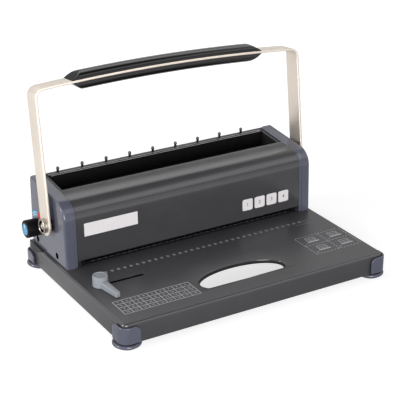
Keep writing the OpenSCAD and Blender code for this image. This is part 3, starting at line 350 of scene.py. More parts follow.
def prism(outline, place, side, up, normal, depth):
    """A flat outline (side, up) with thickness depth along its normal."""
    flat = place + outline[:, :1] * side + outline[:, 1:] * up
    return surface(np.stack([flat, flat + depth * normal]), close_columns=True, caps=True)


def add_piece(name, shell, material, body=BODY, stands_for=(), closed=True, sharp=SHARP):
    """Makes a mesh, joins its coincident points, turns a closed one outwards and lets it ride on its body.

    A cutter and the floor ride on no body. stands_for names the CAD nodes that the piece replaces.
    """
    points, faces = shell
    mesh = bpy.data.meshes.new(name)
    mesh.from_pydata(points.tolist(), [], faces)
    made = bmesh.new()
    made.from_mesh(mesh)
    bmesh.ops.remove_doubles(made, verts=made.verts, dist=TINY)
    bmesh.ops.dissolve_degenerate(made, edges=made.edges, dist=TINY)
    if closed:
        bmesh.ops.recalc_face_normals(made, faces=made.faces)
    made.to_mesh(mesh)
    made.free()
    mesh.shade_smooth()
    mesh.set_sharp_from_angle(angle=np.radians(sharp))
    mesh.materials.append(material)
    piece = bpy.data.objects.new(name, mesh)
    bpy.context.scene.collection.objects.link(piece)
    if body:
        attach(piece, body)
    if stands_for:
        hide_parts(*stands_for)
    return piece


def carve(piece, *shells, edge=None):
    """Cuts closed shells out of a piece, with a finish for the cut edges; the result becomes its mesh."""
    for number, shell in enumerate(shells):
        tool = add_piece(f"{piece.name}_cut{number}", shell, edge or piece.data.materials[0], body="")
        cut = piece.modifiers.new("Cut", "BOOLEAN")
        cut.object = tool
        cut.solver = "EXACT"
        cut.material_mode = "TRANSFER"
        piece.data = bpy.data.meshes.new_from_object(
            piece.evaluated_get(bpy.context.evaluated_depsgraph_get()))
        piece.modifiers.clear()
        bpy.data.objects.remove(tool)
    piece.data.set_sharp_from_angle(angle=np.radians(SHARP))


def add_node(tree, kind, inputs=None, **settings):
    """Adds a node, sets its options and fills its inputs with values or with the sockets that feed them."""
    made = tree.nodes.new(kind)
    for key, value in settings.items():
        setattr(made, key, value)
    for key, value in (inputs or {}).items():
        if isinstance(value, bpy.types.NodeSocket):
            tree.links.new(value, made.inputs[key])
        else:
            made.inputs[key].default_value = value
    return made


def film_over_folds(tree, normal, gloss, fold, shine):
    """Roughness and reflectance of a film that runs thicker and glossier over the folds of a sheet.

    The height of the normal says how a face lies: 0 is upright and 1 is level. The roughness falls from
    gloss to fold on all leaning faces, and the reflectance rises from shine on the steeper ones.
    """
    lean = add_node(tree, "ShaderNodeSeparateXYZ", {0: normal}).outputs["Z"]
    limits = {"raised": (0.04, 0.2), "tipped": (0.995, 0.93), "steep": (0.86, 0.72)}
    part = {}
    for key, (none, full) in limits.items():
        part[key] = add_node(tree, "ShaderNodeMapRange", {
            "Value": lean, "From Min": none, "From Max": full}).outputs[0]
    leaning = add_node(tree, "ShaderNodeMath", {0: part["raised"], 1: part["tipped"]}, operation="MULTIPLY")
    lower = add_node(tree, "ShaderNodeMath", {0: part["raised"], 1: part["steep"]}, operation="MULTIPLY")
    rough = add_node(tree, "ShaderNodeMapRange", {
        "Value": leaning.outputs[0], "To Min": gloss.outputs[0], "To Max": fold})
    bright = add_node(tree, "ShaderNodeMapRange", {
        "Value": lower.outputs[0], "To Min": shine, "To Max": 0.8})
    return rough, bright


def finish(name, shade, rough, mottle, grain, stretch=(1, 1, 1), fold=None, **sockets):
    """A surface with slow mottling of colour and roughness and a fine grain in relief.

    shade names one of the colours, rough is (least, most), mottle is (size in mm, share of the colour),
    grain is (size in mm, depth in mm), stretch draws the grain out along an axis where it is below 1, and
    fold is the roughness over the folds of a sheet. sockets go to the shader. Real grain is often finer than
    a render can show, so none is drawn finer than 0.25 mm.
    """
    if name in bpy.data.materials:
        return bpy.data.materials[name]
    colour = getattr(bpy.context.scene.binder_colours, shade)
    material = bpy.data.materials.new(name)
    material.use_nodes = True
    tree = material.node_tree
    shader = tree.nodes["Principled BSDF"]
    texture = add_node(tree, "ShaderNodeTexCoord")
    place = texture.outputs["Object"]
    slow = add_node(tree, "ShaderNodeTexNoise", {
        "Vector": place, "Scale": 1 / (mottle[0] * MM), "Detail": 3})
    drawn = add_node(tree, "ShaderNodeMapping", {"Vector": place, "Scale": stretch})
    fine = add_node(tree, "ShaderNodeTexNoise", {
        "Vector": drawn.outputs[0], "Scale": 1 / (grain[0] * MM), "Detail": 2})
    low = tuple(c * (1 - mottle[1]) for c in colour[:3]) + (1,)
    high = tuple(min(1, c * (1 + mottle[1])) for c in colour[:3]) + (1,)
    both = add_node(tree, "ShaderNodeMath", {
        0: slow.outputs["Fac"], 1: fine.outputs["Fac"]}, operation="ADD")
    # The sum of two noises lies mostly between these values
    spread = {"Value": both.outputs[0], "From Min": 0.7, "From Max": 1.3}
    share = add_node(tree, "ShaderNodeMapRange", spread)
    tint = add_node(tree, "ShaderNodeMix", {0: share.outputs[0], 6: low, 7: high}, data_type="RGBA")
    gloss = add_node(tree, "ShaderNodeMapRange", {**spread, "To Min": rough[0], "To Max": rough[1]})
    if fold:
        gloss, bright = film_over_folds(
            tree, texture.outputs["Normal"], gloss, fold, sockets["specular_ior_level"])
        tree.links.new(bright.outputs[0], shader.inputs["Specular IOR Level"])
    relief = add_node(tree, "ShaderNodeBump", {
        "Height": fine.outputs["Fac"], "Strength": 0.5, "Distance": grain[1] * MM})
    for key, value in sockets.items():
        shader.inputs[key.replace("_", " ").title().replace("Ior", "IOR")].default_value = value
    tree.links.new(tint.outputs[2], shader.inputs["Base Color"])
    tree.links.new(gloss.outputs[0], shader.inputs["Roughness"])
    tree.links.new(relief.outputs[0], shader.inputs["Normal"])
    material.diffuse_color = colour
    return material


def powder_coat():
    """Powder-coated covers: smooth charcoal film with a faint orange peel of about 1.6 mm."""
    return finish("smooth_powder_coat", "charcoal", rough=(0.17, 0.22), mottle=(30, 0.05),
                  grain=(1.6, 0.008), specular_ior_level=0.65)


def satin_coat():
    """Powder-coated base sheet: the same charcoal with a duller satin face, glossier over the folds."""
    return finish("satin_powder_coat", "charcoal", rough=(0.32, 0.40), mottle=(30, 0.05),
                  grain=(1.6, 0.008), fold=0.11, specular_ior_level=0.45)


def moulded_abs():
    """Moulded ABS with a spark-eroded grain of about 0.6 mm: a soft sheen on a blue-grey body."""
    return finish("grained_blue_grey_ABS", "blue_grey", rough=(0.17, 0.23), mottle=(12, 0.05),
                  grain=(0.6, 0.006), specular_ior_level=0.5)


def satin_nickel():
    """Nickel-plated steel strip, brushed along its length before plating: warm and nearly white."""
    return finish("satin_nickel_plate", "nickel", rough=(0.42, 0.52), mottle=(40, 0.03),
                  grain=(0.5, 0.006), stretch=(0.12, 1, 0.12), metallic=1.0)


def gloss_abs():
    """Polished black ABS: a smooth gloss with faint flow marks."""
    return finish("polished_black_ABS", "grip", rough=(0.12, 0.18), mottle=(25, 0.10),
                  grain=(3.0, 0.006), specular_ior_level=0.5)


def ground_steel():
    """Cold-drawn and ground steel: long grinding lines along X."""
    return finish("ground_steel", "steel", rough=(0.28, 0.40), mottle=(22, 0.06),
                  grain=(0.35, 0.008), stretch=(0.06, 1, 1), metallic=1.0)


def tool_steel():
    """Hardened tool steel: darker, with a fine ground finish along Z."""
    return finish("hardened_tool_steel", "tool_steel", rough=(0.26, 0.36), mottle=(15, 0.08),
                  grain=(0.3, 0.006), stretch=(1, 1, 0.08), metallic=1.0)


def zinc_plate():
    """Zinc-plated fasteners: pale, slightly cloudy metal."""
    return finish("zinc_plated_steel", "zinc", rough=(0.24, 0.38), mottle=(3, 0.14),
                  grain=(0.5, 0.006), metallic=1.0)


def sintered_bronze():
    """Sintered bronze bush: porous brown-gold metal."""
    return finish("sintered_bronze", "bronze", rough=(0.40, 0.55), mottle=(4, 0.15),
                  grain=(0.25, 0.02), metallic=1.0)


def black_lacquer():
    """Black stoved lacquer on steel: deep and satin."""
    return finish("black_lacquered_steel", "black_steel", rough=(0.34, 0.46), mottle=(16, 0.10),
                  grain=(1.0, 0.015), specular_ior_level=0.45)


def phosphate_and_shade_black():
    """Phosphated and oiled steel of the jaws and the die: nearly black, dull and fine-grained. Its black
    also paints shade on cut walls, in the pivot cups, the guide channel and the drive shaft.
    """
    return finish("phosphated_steel", "phosphate", rough=(0.48, 0.60), mottle=(10, 0.15),
                  grain=(0.5, 0.01), specular_ior_level=0.12)


def black_oxide():
    """Black-oxided steel of the hanger pins: dark metal with a smooth, oily sheen."""
    return finish("black_oxide_steel", "oxide", rough=(0.30, 0.40), mottle=(4, 0.12),
                  grain=(0.4, 0.006), metallic=1.0)


def black_nylon():
    """Moulded black nylon of the knob: a dull skin with a faint grain. It also blackens the sleeves in the
    caps' screw wells as painted shade.
    """
    return finish("black_nylon", "knob", rough=(0.42, 0.52), mottle=(8, 0.10),
                  grain=(0.4, 0.01), specular_ior_level=0.1)


def blue_film():
    """Printed polyester film on the knob's end: clear blue under a smooth face."""
    return finish("blue_polyester_film", "disc", rough=(0.24, 0.30), mottle=(6, 0.04),
                  grain=(0.8, 0.003), specular_ior_level=0.5)


def grey_nylon():
    """Moulded grey nylon of the edge guide: pale grey with a soft sheen."""
    return finish("grey_nylon", "guide", rough=(0.36, 0.46), mottle=(9, 0.05),
                  grain=(0.5, 0.02), specular_ior_level=0.5)


def rubber_and_shade_black():
    """Vulcanised rubber of the pads and the opening's edging: matt and dusty. Its black also paints shade on
    the opening's rim, behind the feet's walls and below their flanges.
    """
    return finish("vulcanised_rubber", "rubber", rough=(0.70, 0.85), mottle=(5, 0.12),
                  grain=(0.4, 0.03), specular_ior_level=0.3)


def tray_abs():
    """Moulded black ABS tray: coarse grain, dull."""
    return finish("grained_black_ABS", "tray", rough=(0.46, 0.58), mottle=(14, 0.08),
                  grain=(0.8, 0.03), specular_ior_level=0.45)


def screen_ink(shade):
    """Screen-printed ink: a thin dull film, slightly uneven over about 2 mm."""
    return finish(f"screen_ink_{shade}", shade, rough=(0.50, 0.60), mottle=(2, 0.10),
                  grain=(0.5, 0.004), specular_ior_level=0.35)


def vinyl_label():
    """White vinyl labels: smooth film with a trace of the adhesive's unevenness."""
    return finish("white_vinyl", "label", rough=(0.32, 0.40), mottle=(12, 0.03),
                  grain=(2.0, 0.01), specular_ior_level=0.5)


def opening_outline(s):
    """D-shaped opening: an ellipse cut by a straight edge, with a tangent arc at each corner.

    The place where ellipse and arc meet is found by putting each guess back into the condition. The points
    lie close together, because rays are read off them.
    """
    edge_y = PAN[0][1] + s.opening_flat
    lift = s.opening_flat - s.opening_in + s.opening_r
    t0 = 0.0
    for _ in range(8):
        tilt = np.arctan2(np.sin(t0) / s.opening_b, np.cos(t0) / s.opening_a)
        t0 = np.arcsin((lift + s.opening_r * np.sin(tilt)) / s.opening_b)
    t = np.linspace(t0, np.pi - t0, 2400)
    curve = np.c_[s.opening_a * np.cos(t), PAN[0][1] + s.opening_in + s.opening_b * np.sin(t)]
    x = s.opening_a * np.cos(t0) - s.opening_r * np.cos(tilt)
    corner = arc((x, edge_y + s.opening_r), s.opening_r, -QUARTER, tilt, 60)
    edge = np.c_[np.linspace(-x, x, 400), np.full(400, edge_y)]
    return np.concatenate([edge, corner, curve, corner[::-1] * [-1, 1]])


def rounded_outline(half, radius, count=60):
    """Rounded rectangle about the origin with half sizes and a corner radius.

    Its straight edges are divided into count parts.
    """
    quarter = arc(np.asarray(half) - radius, radius, 0, QUARTER, 16)
    loop = np.concatenate([quarter, quarter[::-1] * [-1, 1], quarter * [-1, -1], quarter[::-1] * [1, -1]])
    t = np.linspace(0, 1, count, endpoint=False)[None, :, None]
    after = np.roll(loop, -1, 0)
    straight = np.linalg.norm(after - loop, axis=1) > 4 * radius
    fine = loop[:, None] * (1 - t) + after[:, None] * t
    keep = straight[:, None] | (np.arange(count) == 0)[None]
    return fine[keep]


def at_angle(outline, centre, angle):
    """Points where rays from the centre meet an outline, by its polar radius."""
    d = outline - centre
    a = np.arctan2(d[:, 1], d[:, 0])
    order = np.argsort(a)
    radius = np.interp(angle, a[order], np.hypot(*d.T)[order], period=2 * np.pi)
    return centre + radius[:, None] * np.c_[np.cos(angle), np.sin(angle)]


def pan_shell(s):
    """One closed grid along rays from the finger opening to the rim.

    Each ray goes up the opening's rim, over the flat top and the fold, down the skirt and back inside.
    """
    half = PAN[1][:2]
    low = PAN[0][2]
    # The rays start from a point inside the opening, 4 mm in front of its ellipse's centre
    centre = np.array([0, PAN[0][1] + s.opening_in - 4 * MM])
    hole = opening_outline(s)
    d = np.concatenate([rounded_outline(half, s.corner), hole[::24]]) - centre
    angle = np.unique(np.round(np.arctan2(d[:, 1], d[:, 0]), 5))
    inner = at_angle(hole, centre, angle)
    outer = at_angle(rounded_outline(half, s.corner, 1200), centre, angle)
    core = half - s.corner
    normal = unit(outer - np.clip(outer, -core, core))
    ray = unit(inner - centre)
    soft = 0.4 * MM
    # Rim profile as (distance in from the outer face, height)
    rim_line = np.concatenate([
        arc((s.fold, TOP - s.fold), s.fold, QUARTER, 2 * QUARTER),
        arc((soft, low + soft), soft, 2 * QUARTER, 3 * QUARTER),
        arc((s.sheet - soft, low + soft), soft, 3 * QUARTER, 4 * QUARTER),
        arc((s.fold, TOP - s.fold), s.fold - s.sheet, 2 * QUARTER, QUARTER)])
    # Opening's turned-down rim as (distance out from the opening, height)
    foot = TOP - s.opening_rim
    hole_line = np.concatenate([
        [[s.sheet, TOP - s.sheet]],
        arc((s.sheet - soft, foot + soft), soft, 0, -QUARTER),
        arc((soft, foot + soft), soft, 3 * QUARTER, 2 * QUARTER),
        arc((s.opening_fold, TOP - s.opening_fold), s.opening_fold, 2 * QUARTER, QUARTER)])
    t = np.linspace(0, 1, 8)[1:-1, None, None]
    flat = (inner + s.sheet * ray) * (1 - t) + (outer - s.fold * normal) * t
    rows = [level(inner + out * ray, z) for out, z in hole_line]
    rows += [level(ring, TOP) for ring in flat]
    rows += [level(outer - deep * normal, z) for deep, z in rim_line]
    rows += [level(ring, TOP - s.sheet) for ring in flat[::-1]]
    return surface(np.stack(rows), close_rows=True, close_columns=True)


def opening_shade_band(s):
    """A black rubber edging carried round the opening, against the inside of its rim; its black is painted
    shade on the rim's inner wall.
    """
    line = opening_outline(s)[::12]
    ahead = np.roll(line, -1, 0) - np.roll(line, 1, 0)
    inward = unit(np.c_[-ahead[:, 1], ahead[:, 0]])
    thick = 0.9 * MM
    below = 0.6 * MM
    section = fillet(rectangle(0, TOP - s.opening_rim - below, thick, TOP - thick), 0.35 * MM, 3)
    points = level(line, 0)[:, None] + section[:, :1] * level(inward, 0)[:, None] + section[:, 1:] * Z
    return surface(points, close_rows=True, close_columns=True)


def guide_slot(s, over):
    """Cutter for the guide slot: a rounded outline with nearly half-round ends, through the top."""
    half = np.array([s.slot_l, s.slot_w]) / 2
    left = node_box("guide_slider")[0][0] + 1.7 * MM
    outline = np.array([left + half[0], TURRET[1]]) + rounded_outline(half, half.min() * 0.98, 2)
    return prism(outline, (TOP - over) * Z, X, Y, Z, 2 * over)


def chip_slot(over):
    """Cutter for the slot below the punches: a block round them with some room."""
    low, high = node_box("punches")
    room = 3 * MM
    return box_shell([*(low[:2] - room), TOP - over], [*(high[:2] + room), TOP + over])


def tray_mouth(s, over):
    """Cutters for the tray: notches above the rear feet, with a sloped front edge, and the mouth behind."""
    ear = node_box("tray_ears")
    tray = node_box("chip_tray")
    floor = ear[0][2] - 0.3 * MM
    back = PAN[1][1] + over
    beside_cap = CAP[1][0] + 0.3 * MM
    room = 2.1 * MM

    def notch(top, left, width):
        """A prism along X whose outline (depth, height) is a block with its front edge sloped."""
        edge = PAN[1][1] - s.ear_l + s.ear_slant * (TOP - np.array([floor, top])) / (TOP - floor)
        outline = np.array([[edge[0], floor], [back, floor], [back, top], [edge[1], top]])
        return prism(outline, left * X, Y, Z, X, width)

    return [
        notch(TOP - s.sheet, PAN[0][0] - over, PAN[1][0] - PAN[0][0] + 2 * over),
        notch(TOP + over, beside_cap, 2 * over),
        notch(TOP + over, -beside_cap - 2 * over, 2 * over),
        box_shell([tray[0][0] - room, ear[1][1] - over, PAN[0][2] - over],
                  [tray[1][0] + room, ear[1][1] + over, ear[0][2]])]


class BINDER_OT_base(bpy.types.Operator):
    """Makes the folded base pan with its finger opening, guide slot, chip slot and tray mouth"""
    bl_idname = "binder.base"
    bl_label = "Base pan"

    def execute(self, context):
        s = context.scene.binder_base
        over = 4 * MM
        pan = add_piece("base_pan_skin", pan_shell(s), satin_coat(),
                        stands_for=["base_pan"])
        # The edging's black is painted shade on the inner wall of the opening's rim
        add_piece("finger_opening_trim", opening_shade_band(s), rubber_and_shade_black())
        # The slots' cut walls are black, as painted shade inside the slots
        carve(pan, guide_slot(s, over), chip_slot(over), edge=phosphate_and_shade_black())
        carve(pan, *tray_mouth(s, over))
        return {"FINISHED"}


def round_corner(s, sx, sy, section, inset=0.0):
    """A section (outward, height) carried round a corner of the base.

    Above its knee it falls in a quarter round at both leg ends, and the ends draw in a little.
    """
    reach = PAN[1][:2] + s.foot_stand
    core = reach - s.foot_corner
    # Stations from a leg's end, closer where its top is round
    ends = np.array([0, 0.25, 0.5, 0.8, 1.2, 2, 3, 4.2, 5.4, 6.6, 8, 10]) * MM
    front = np.c_[PAN[1][0] - s.foot_leg + inset + ends, np.full(len(ends), reach[1])]
    side = np.c_[np.full(len(ends), reach[0]), PAN[1][1] - s.foot_side + inset + ends][::-1]
    path = np.concatenate([front, arc(core, s.foot_corner, QUARTER, 0, 18), side])
    out = unit(path - np.minimum(path, core))
    step = np.concatenate([[0], np.cumsum(np.linalg.norm(np.diff(path, axis=0), axis=1))])
    d = np.minimum(step, step[-1] - step)[:, None]
    top = section[:, 1].max()
    knee = top - 14 * MM
    fall = s.foot_round - np.sqrt(np.maximum(s.foot_round ** 2 - np.maximum(s.foot_round - d, 0) ** 2, 0))
    z = section[:, 1] - fall * np.clip((section[:, 1] - knee) / (top - knee), 0, 1)
    # Over the first 0.9 mm the outer face draws in by 0.7 mm, so that the ends have soft edges
    near = np.clip(d / (0.9 * MM), 0, 1)
    draw = 0.7 * MM * (1 - np.sqrt(np.clip(1 - (1 - near) ** 2, 0, 1)))
    o = section[:, 0] - draw * (section[:, 0] > section[:, 0].min() + 0.5 * MM)
    turn = np.array([sx, sy, 1])
    return sweep(np.stack([o, z], -1), level(path, 0) * turn, level(out, 0) * turn, Z)


def foot_shells(s, sx, sy, name):
    """A foot's corner wall and round flange, and the dark sleeve between the wall and the base's skirt,
    whose black is painted shade in that gap.
    """
    low, high = node_box(name)
    top = high[2] + (s.foot_rise if sy < 0 else -s.foot_drop)
    under = PAN[0][2] - 0.2 * MM
    gap = 0.05 * MM
    wall = fillet(rectangle(-s.foot_wall, under + s.foot_groove, 0, top),
                  np.array([0.4, 0.6, 0.9, 0.4]) * MM, 4)
    # The sleeve fills the gap behind the wall; its black is painted shade there
    shade_lining = fillet(rectangle(0.15 * MM - s.foot_stand, under + gap, -s.foot_wall - gap, top - 0.7 * MM),
                    0.2 * MM, 2)
    # Flange with a full round edge below the skirt
    foot = low[2] + 0.3 * MM
    r = (under - foot) / 2
    edge = arc((s.flange_r - r, (under + foot) / 2), r, -QUARTER, QUARTER, 13)
    profile = np.concatenate([[[0, foot]], edge, [[0, under]]])
    centre = np.array([sx * (PAN[1][0] - s.flange_in), sy * (PAN[1][1] - s.flange_in - 2 * MM), 0])
    skin = joined(round_corner(s, sx, sy, wall), lathe(profile, centre, Z, 96))
    return skin, round_corner(s, sx, sy, shade_lining, 0.5 * MM), centre


class BINDER_OT_feet(bpy.types.Operator):
    """Makes the four corner feet and their rubber pads"""
    bl_idname = "binder.feet"
    bl_label = "Feet"

    def execute(self, context):
        s = context.scene.binder_base
        # The pads' wide black rims are painted shade below the flanges
        r = s.pad_and_shade_r
        top = node_box("foot_pads")[1][2]
        soft = 0.4 * MM
        # A pad's sole has a shallow groove near its rim
        profile = [[0, 0], [r - 2.5 * MM, 0], [r - 2 * MM, 0.25 * MM], [r - 1.5 * MM, 0], [r - soft, 0],
                   [r, soft], [r, top], [0, top]]
        pads, shade_sleeves = [], []
        for sy, end in ((-1, "front"), (1, "rear")):
            for sx, hand in ((-1, "left"), (1, "right")):
                name = f"foot_{end}_{hand}"
                skin, sleeve, centre = foot_shells(s, sx, sy, name)
                add_piece(f"{name}_skin", skin, moulded_abs(), stands_for=[name])
                shade_sleeves.append(sleeve)
                pads.append(lathe(profile, centre, Z))
        # Black sleeves behind the feet's walls: painted shade in the gaps
        add_piece("foot_sleeves", joined(*shade_sleeves), rubber_and_shade_black())
        add_piece("foot_pads_skin", joined(*pads), rubber_and_shade_black(), stands_for=["foot_pads"])
        return {"FINISHED"}


def top_height(s, y, inset=0.0):
    """Height of the tower's sloped top at depth y, for a surface that lies inset below it."""
    return s.nose_z + (s.nose - inset) / np.cos(s.slope) + (y - s.nose_y) * np.tan(s.slope)


def front_depth(s, z, inset):
    """Depth of the tower's leaning front at height z, for a surface that lies inset behind it."""
    y0 = CAP[0][1]
    lean = s.nose_y - s.nose - y0
    return y0 + inset + lean * np.clip((z - TOP) / (s.nose_z - TOP), 0, 1)


def nose_line(s, inset, z, y):
    """Up the leaning front from height z, round the nose and along the sloped top to depth y."""
    nose = arc((s.nose_y, s.nose_z), s.nose - inset, np.pi, QUARTER + s.slope, 28)
    return np.concatenate([[[front_depth(s, z, inset), z]], nose, [[y, top_height(s, y, inset)]]])


def tower_line(s, inset, floor):
    """Closed side outline of the tower (depth, height): front, nose, sloped top, back corner, back."""
    back = CAP[1][1]
    yc = back - s.back
    zc = top_height(s, yc) - s.back / np.cos(s.slope)
    corner = arc((yc, zc), np.maximum(s.back - inset, 0.2 * MM), QUARTER + s.slope, 0, 12)
    return np.concatenate([nose_line(s, inset, floor, yc - 1 * MM), corner, [[back - inset, floor]]])


def cap_shell(s, side):
    """Tower outlines stacked along X.

    They are the inner wall, the rim, the recessed strip, the outer wall and a quarter round to the face.
    """
    outer = CAP[1][0]
    inner = outer - s.cap_depth
    step = inner + s.cap_strip
    sunk = s.cap_sunk
    soft = 0.3 * MM
    # Places as (x, inset); the first two are inside the cap
    inside = [(outer - s.cap_wall, s.cap_wall), (inner, s.cap_wall)]
    outside = [(inner, sunk + soft), (inner + soft, sunk), (step - 0.1 * MM, sunk), (step, soft),
               (step + soft, 0.0)]
    outside += arc((outer - s.cap_round, s.cap_round), s.cap_round, -QUARTER, 0, 9).tolist()
    loops = [(x, tower_line(s, inset, TOP + inset)) for x, inset in inside]
    loops += [(x, tower_line(s, inset, TOP + inset / 2)) for x, inset in outside]
    points = np.stack([np.c_[np.full(len(loop), side * x), loop] for x, loop in loops])
    return surface(points, close_columns=True, caps=True)


class BINDER_OT_caps(bpy.types.Operator):
    """Makes the two end caps with their holes and dark screw sleeves, whose black is painted shade in the
    wells
    """
    bl_idname = "binder.caps"
    bl_label = "End caps"

    def execute(self, context):
        s = context.scene.binder_tower
        low, high = node_box("cap_screws")
        r = (high[2] - low[2]) / 2
        wells = [np.array([0, y, (low[2] + high[2]) / 2]) for y in (low[1] + r, high[1] - r)]
        outer = CAP[1][0]
        through = (outer - 6 * MM, outer + 1 * MM)
        # A dark sleeve's wall and its floor with a hole for the screw, as (radius, x); its black is painted
        # shade inside the well
        tube = np.array([[2.8, -2.55], [4.5, -2.55], [4.5, -17.3], [1.55, -17.3], [1.55, -15.3],
                         [2.8, -15.3], [2.8, -2.55]]) * MM + [0, outer]
        for side, name in ((-1, "left_end_cap"), (1, "right_end_cap")):
            cap = add_piece(f"{name}_skin", cap_shell(s, side), moulded_abs(),
                            stands_for=[name])
            cuts = [rod(PIVOT, *through, 8 * MM, side)]
            cuts += [rod(well, *through, 4 * MM, side, 32) for well in wells]
            if side < 0:
                cuts.append(rod(KNOB, *through, 7.5 * MM, side))
            # The holes' cut walls are black, as painted shade inside the holes
            carve(cap, *cuts, edge=phosphate_and_shade_black())
            shade_sleeves = [lathe(tube, well, side * X, 32) for well in wells]
            add_piece(f"{name}_sleeves", joined(*shade_sleeves), black_nylon())
        return {"FINISHED"}


class BINDER_OT_cover(bpy.types.Operator):
    """Makes the bent front cover with its rounded nose and its lip at the trough"""
    bl_idname = "binder.cover"
    bl_label = "Front cover"

    def execute(self, context):
        s = context.scene.binder_tower
        low, high = COVER
        z, y = low[2], high[1]
        outside = nose_line(s, s.cover_inset, z, y)
        inside = nose_line(s, s.cover_inset + s.cover_sheet, z, y)[::-1]
        line = np.concatenate([outside, inside])
        radius = np.zeros(len(line))
        radius[[0, len(outside) - 1, len(outside), -1]] = 0.4 * MM
        sheet = sweep(fillet(line, radius, 3), np.array([low[0] * X, high[0] * X]), Y, Z)
        end = node_box("closing_channel")[1][0] - 0.3 * MM
        t = s.cover_sheet
        edge = top_height(s, y, s.cover_inset)
        section = fillet(rectangle(y - t, edge - s.cover_lip, y, edge - t), 0.3 * MM, 3)
        lip = sweep(section, np.array([-end * X, end * X]), Y, Z)
        add_piece("front_cover_skin", joined(sheet, lip), powder_coat(),
                  stands_for=["front_cover"])
        return {"FINISHED"}


def handle_bend(s):
    """Place of the arm's middle, radius of the bend's middle line, and the bend's centre (x, height)."""
    arm = node_box("handle_bar")[1][0] - s.thick / 2
    radius = s.bend + s.thick / 2
    x = arm - radius
    return arm, radius, x, s.reach - s.arch + np.sqrt((s.arch - radius) ** 2 - x ** 2)


def handle_path(s):
    """Right half of the handle's line, as arch, bend and arm.

    Gives its points (x, height from the pivot) and their outward normals.
    """
    arm, radius, x, z = handle_bend(s)
    zc = s.reach - s.arch
    turn = np.arctan2(z - zc, x)
    end = -s.width / 2 * np.sin(np.linspace(0, QUARTER, 20))
    arm_h = np.concatenate([np.linspace(z, s.width, 12)[1:], np.linspace(s.width, 0, 4)[1:-1], end])
    points = np.concatenate([
        arc((0, zc), s.arch, QUARTER, turn, 60),
        arc((x, z), radius, turn, 0, 18)[1:],
        np.c_[np.full(len(arm_h), arm), arm_h]])
    normals = np.concatenate([
        arc(0, 1, QUARTER, turn, 60),
        arc(0, 1, turn, 0, 18)[1:],
        np.broadcast_to([1, 0], (len(arm_h), 2))])
    return points, normals


def racked(s, flat):
    """Leans the bar, from a bar's width above the pivot up to the bends.

    There it stands left by shift and falls to the right by tilt.
    """
    f = np.clip((flat[:, 1] - s.width) / (handle_bend(s)[3] - s.width), 0, 1)
    return np.c_[flat[:, 0] - s.shift * f, flat[:, 1] - np.tan(s.tilt) * flat[:, 0] * f]


def in_handle_plane(s, flat):
    """(x, height) in the leaning handle's plane to space, as vectors from the pivot."""
    return np.c_[flat[:, 0], flat[:, 1] * np.sin(s.lean), flat[:, 1] * np.cos(s.lean)]


def along_handle(s, section, line, normals):
    """A section (outward, across) carried along a line (x, height) of the racked and leaning handle."""
    path = in_handle_plane(s, racked(s, line)) + PIVOT * [0, 1, 1]
    return sweep(section, path, in_handle_plane(s, normals), [0, np.cos(s.lean), -np.sin(s.lean)])


class BINDER_OT_handle(bpy.types.Operator):
    """Makes the handle's flat bar, bent to a U with round arm ends"""
    bl_idname = "binder.handle"
    bl_label = "Handle bar"

    def execute(self, context):
        s = context.scene.binder_handle
        points, normals = handle_path(s)
        points = np.concatenate([points[:0:-1] * [-1, 1], points])
        normals = np.concatenate([normals[:0:-1] * [-1, 1], normals])
        half = s.width / 2
        section = fillet(np.array([[1, 1], [1, -1], [-1, -1], [-1, 1]]) * [s.thick / 2, half], 0.7 * MM, 4)
        # Below the pivot the bar's half width follows a circle
        width = np.sqrt(np.maximum(half ** 2 - np.minimum(points[:, 1:], 0) ** 2, 0))
        across = np.sign(section[:, 1]) * np.maximum(width - (half - np.abs(section[:, 1])), 0)
        flat = np.stack([np.broadcast_to(section[:, 0], across.shape), across], -1)
        add_piece("handle_bar_skin", along_handle(s, flat, points, normals), satin_nickel(),
                  "handle", ["handle_bar"])
        return {"FINISHED"}


def grip_shell(s, direction, height):
    """A half-oval section along the arch, whose height a sloped plane limits at the ends.

    The least of both heights is taken by a high power mean, which leaves a slightly soft edge.
    """
    half = s.grip_l / 2
    tip = np.linspace(half - 1.1 * s.grip_end, half, 20)
    t = np.concatenate([-tip[::-1], np.linspace(-tip[0], tip[0], 40)[1:-1], tip])
    a = np.arccos((t - s.grip_left) / s.arch)
    outward = np.c_[np.cos(a), np.sin(a)]
    line = [0, s.reach - s.arch] + s.arch * outward
    b = np.linspace(0, np.pi, 45)
    oval = np.c_[np.sin(b) ** 0.7, np.cos(b)]
    bottom = np.c_[np.zeros(7), np.linspace(-1, 1, 9)[1:-1]]
    section = np.concatenate([oval, bottom])
    room = ((half - np.abs(t)) * height / s.grip_end + 0.03 * MM)[:, None]
    rise = section[:, 0] * height
    power = 14
    rise = rise * room / (rise ** power + room ** power) ** (1 / power)
    seat = s.thick / 2 + 0.05 * MM
    across = np.broadcast_to(section[:, 1] * s.grip_w / 2, rise.shape)
    return along_handle(s, np.stack([seat + rise, across], -1), line, outward * direction)


class BINDER_OT_grip(bpy.types.Operator):
    """Makes the upper and lower grip shells"""
    bl_idname = "binder.grip"
    bl_label = "Grip"

    def execute(self, context):
        s = context.scene.binder_handle
        for name, direction, height in (("grip_upper", 1, s.grip_up), ("grip_lower", -1, s.grip_down)):
            add_piece(f"{name}_skin", grip_shell(s, direction, height), gloss_abs(), "handle",
                      [name], sharp=28)
        return {"FINISHED"}


def at_both_arms(*profiles):
    """Profiles (radius, x) with their numbers of segments, turned about the pivot's axis at both arms."""
    return joined(*[lathe(profile, PIVOT * [0, 1, 1], side * X, segments)
                    for side in (-1, 1) for profile, segments in profiles])


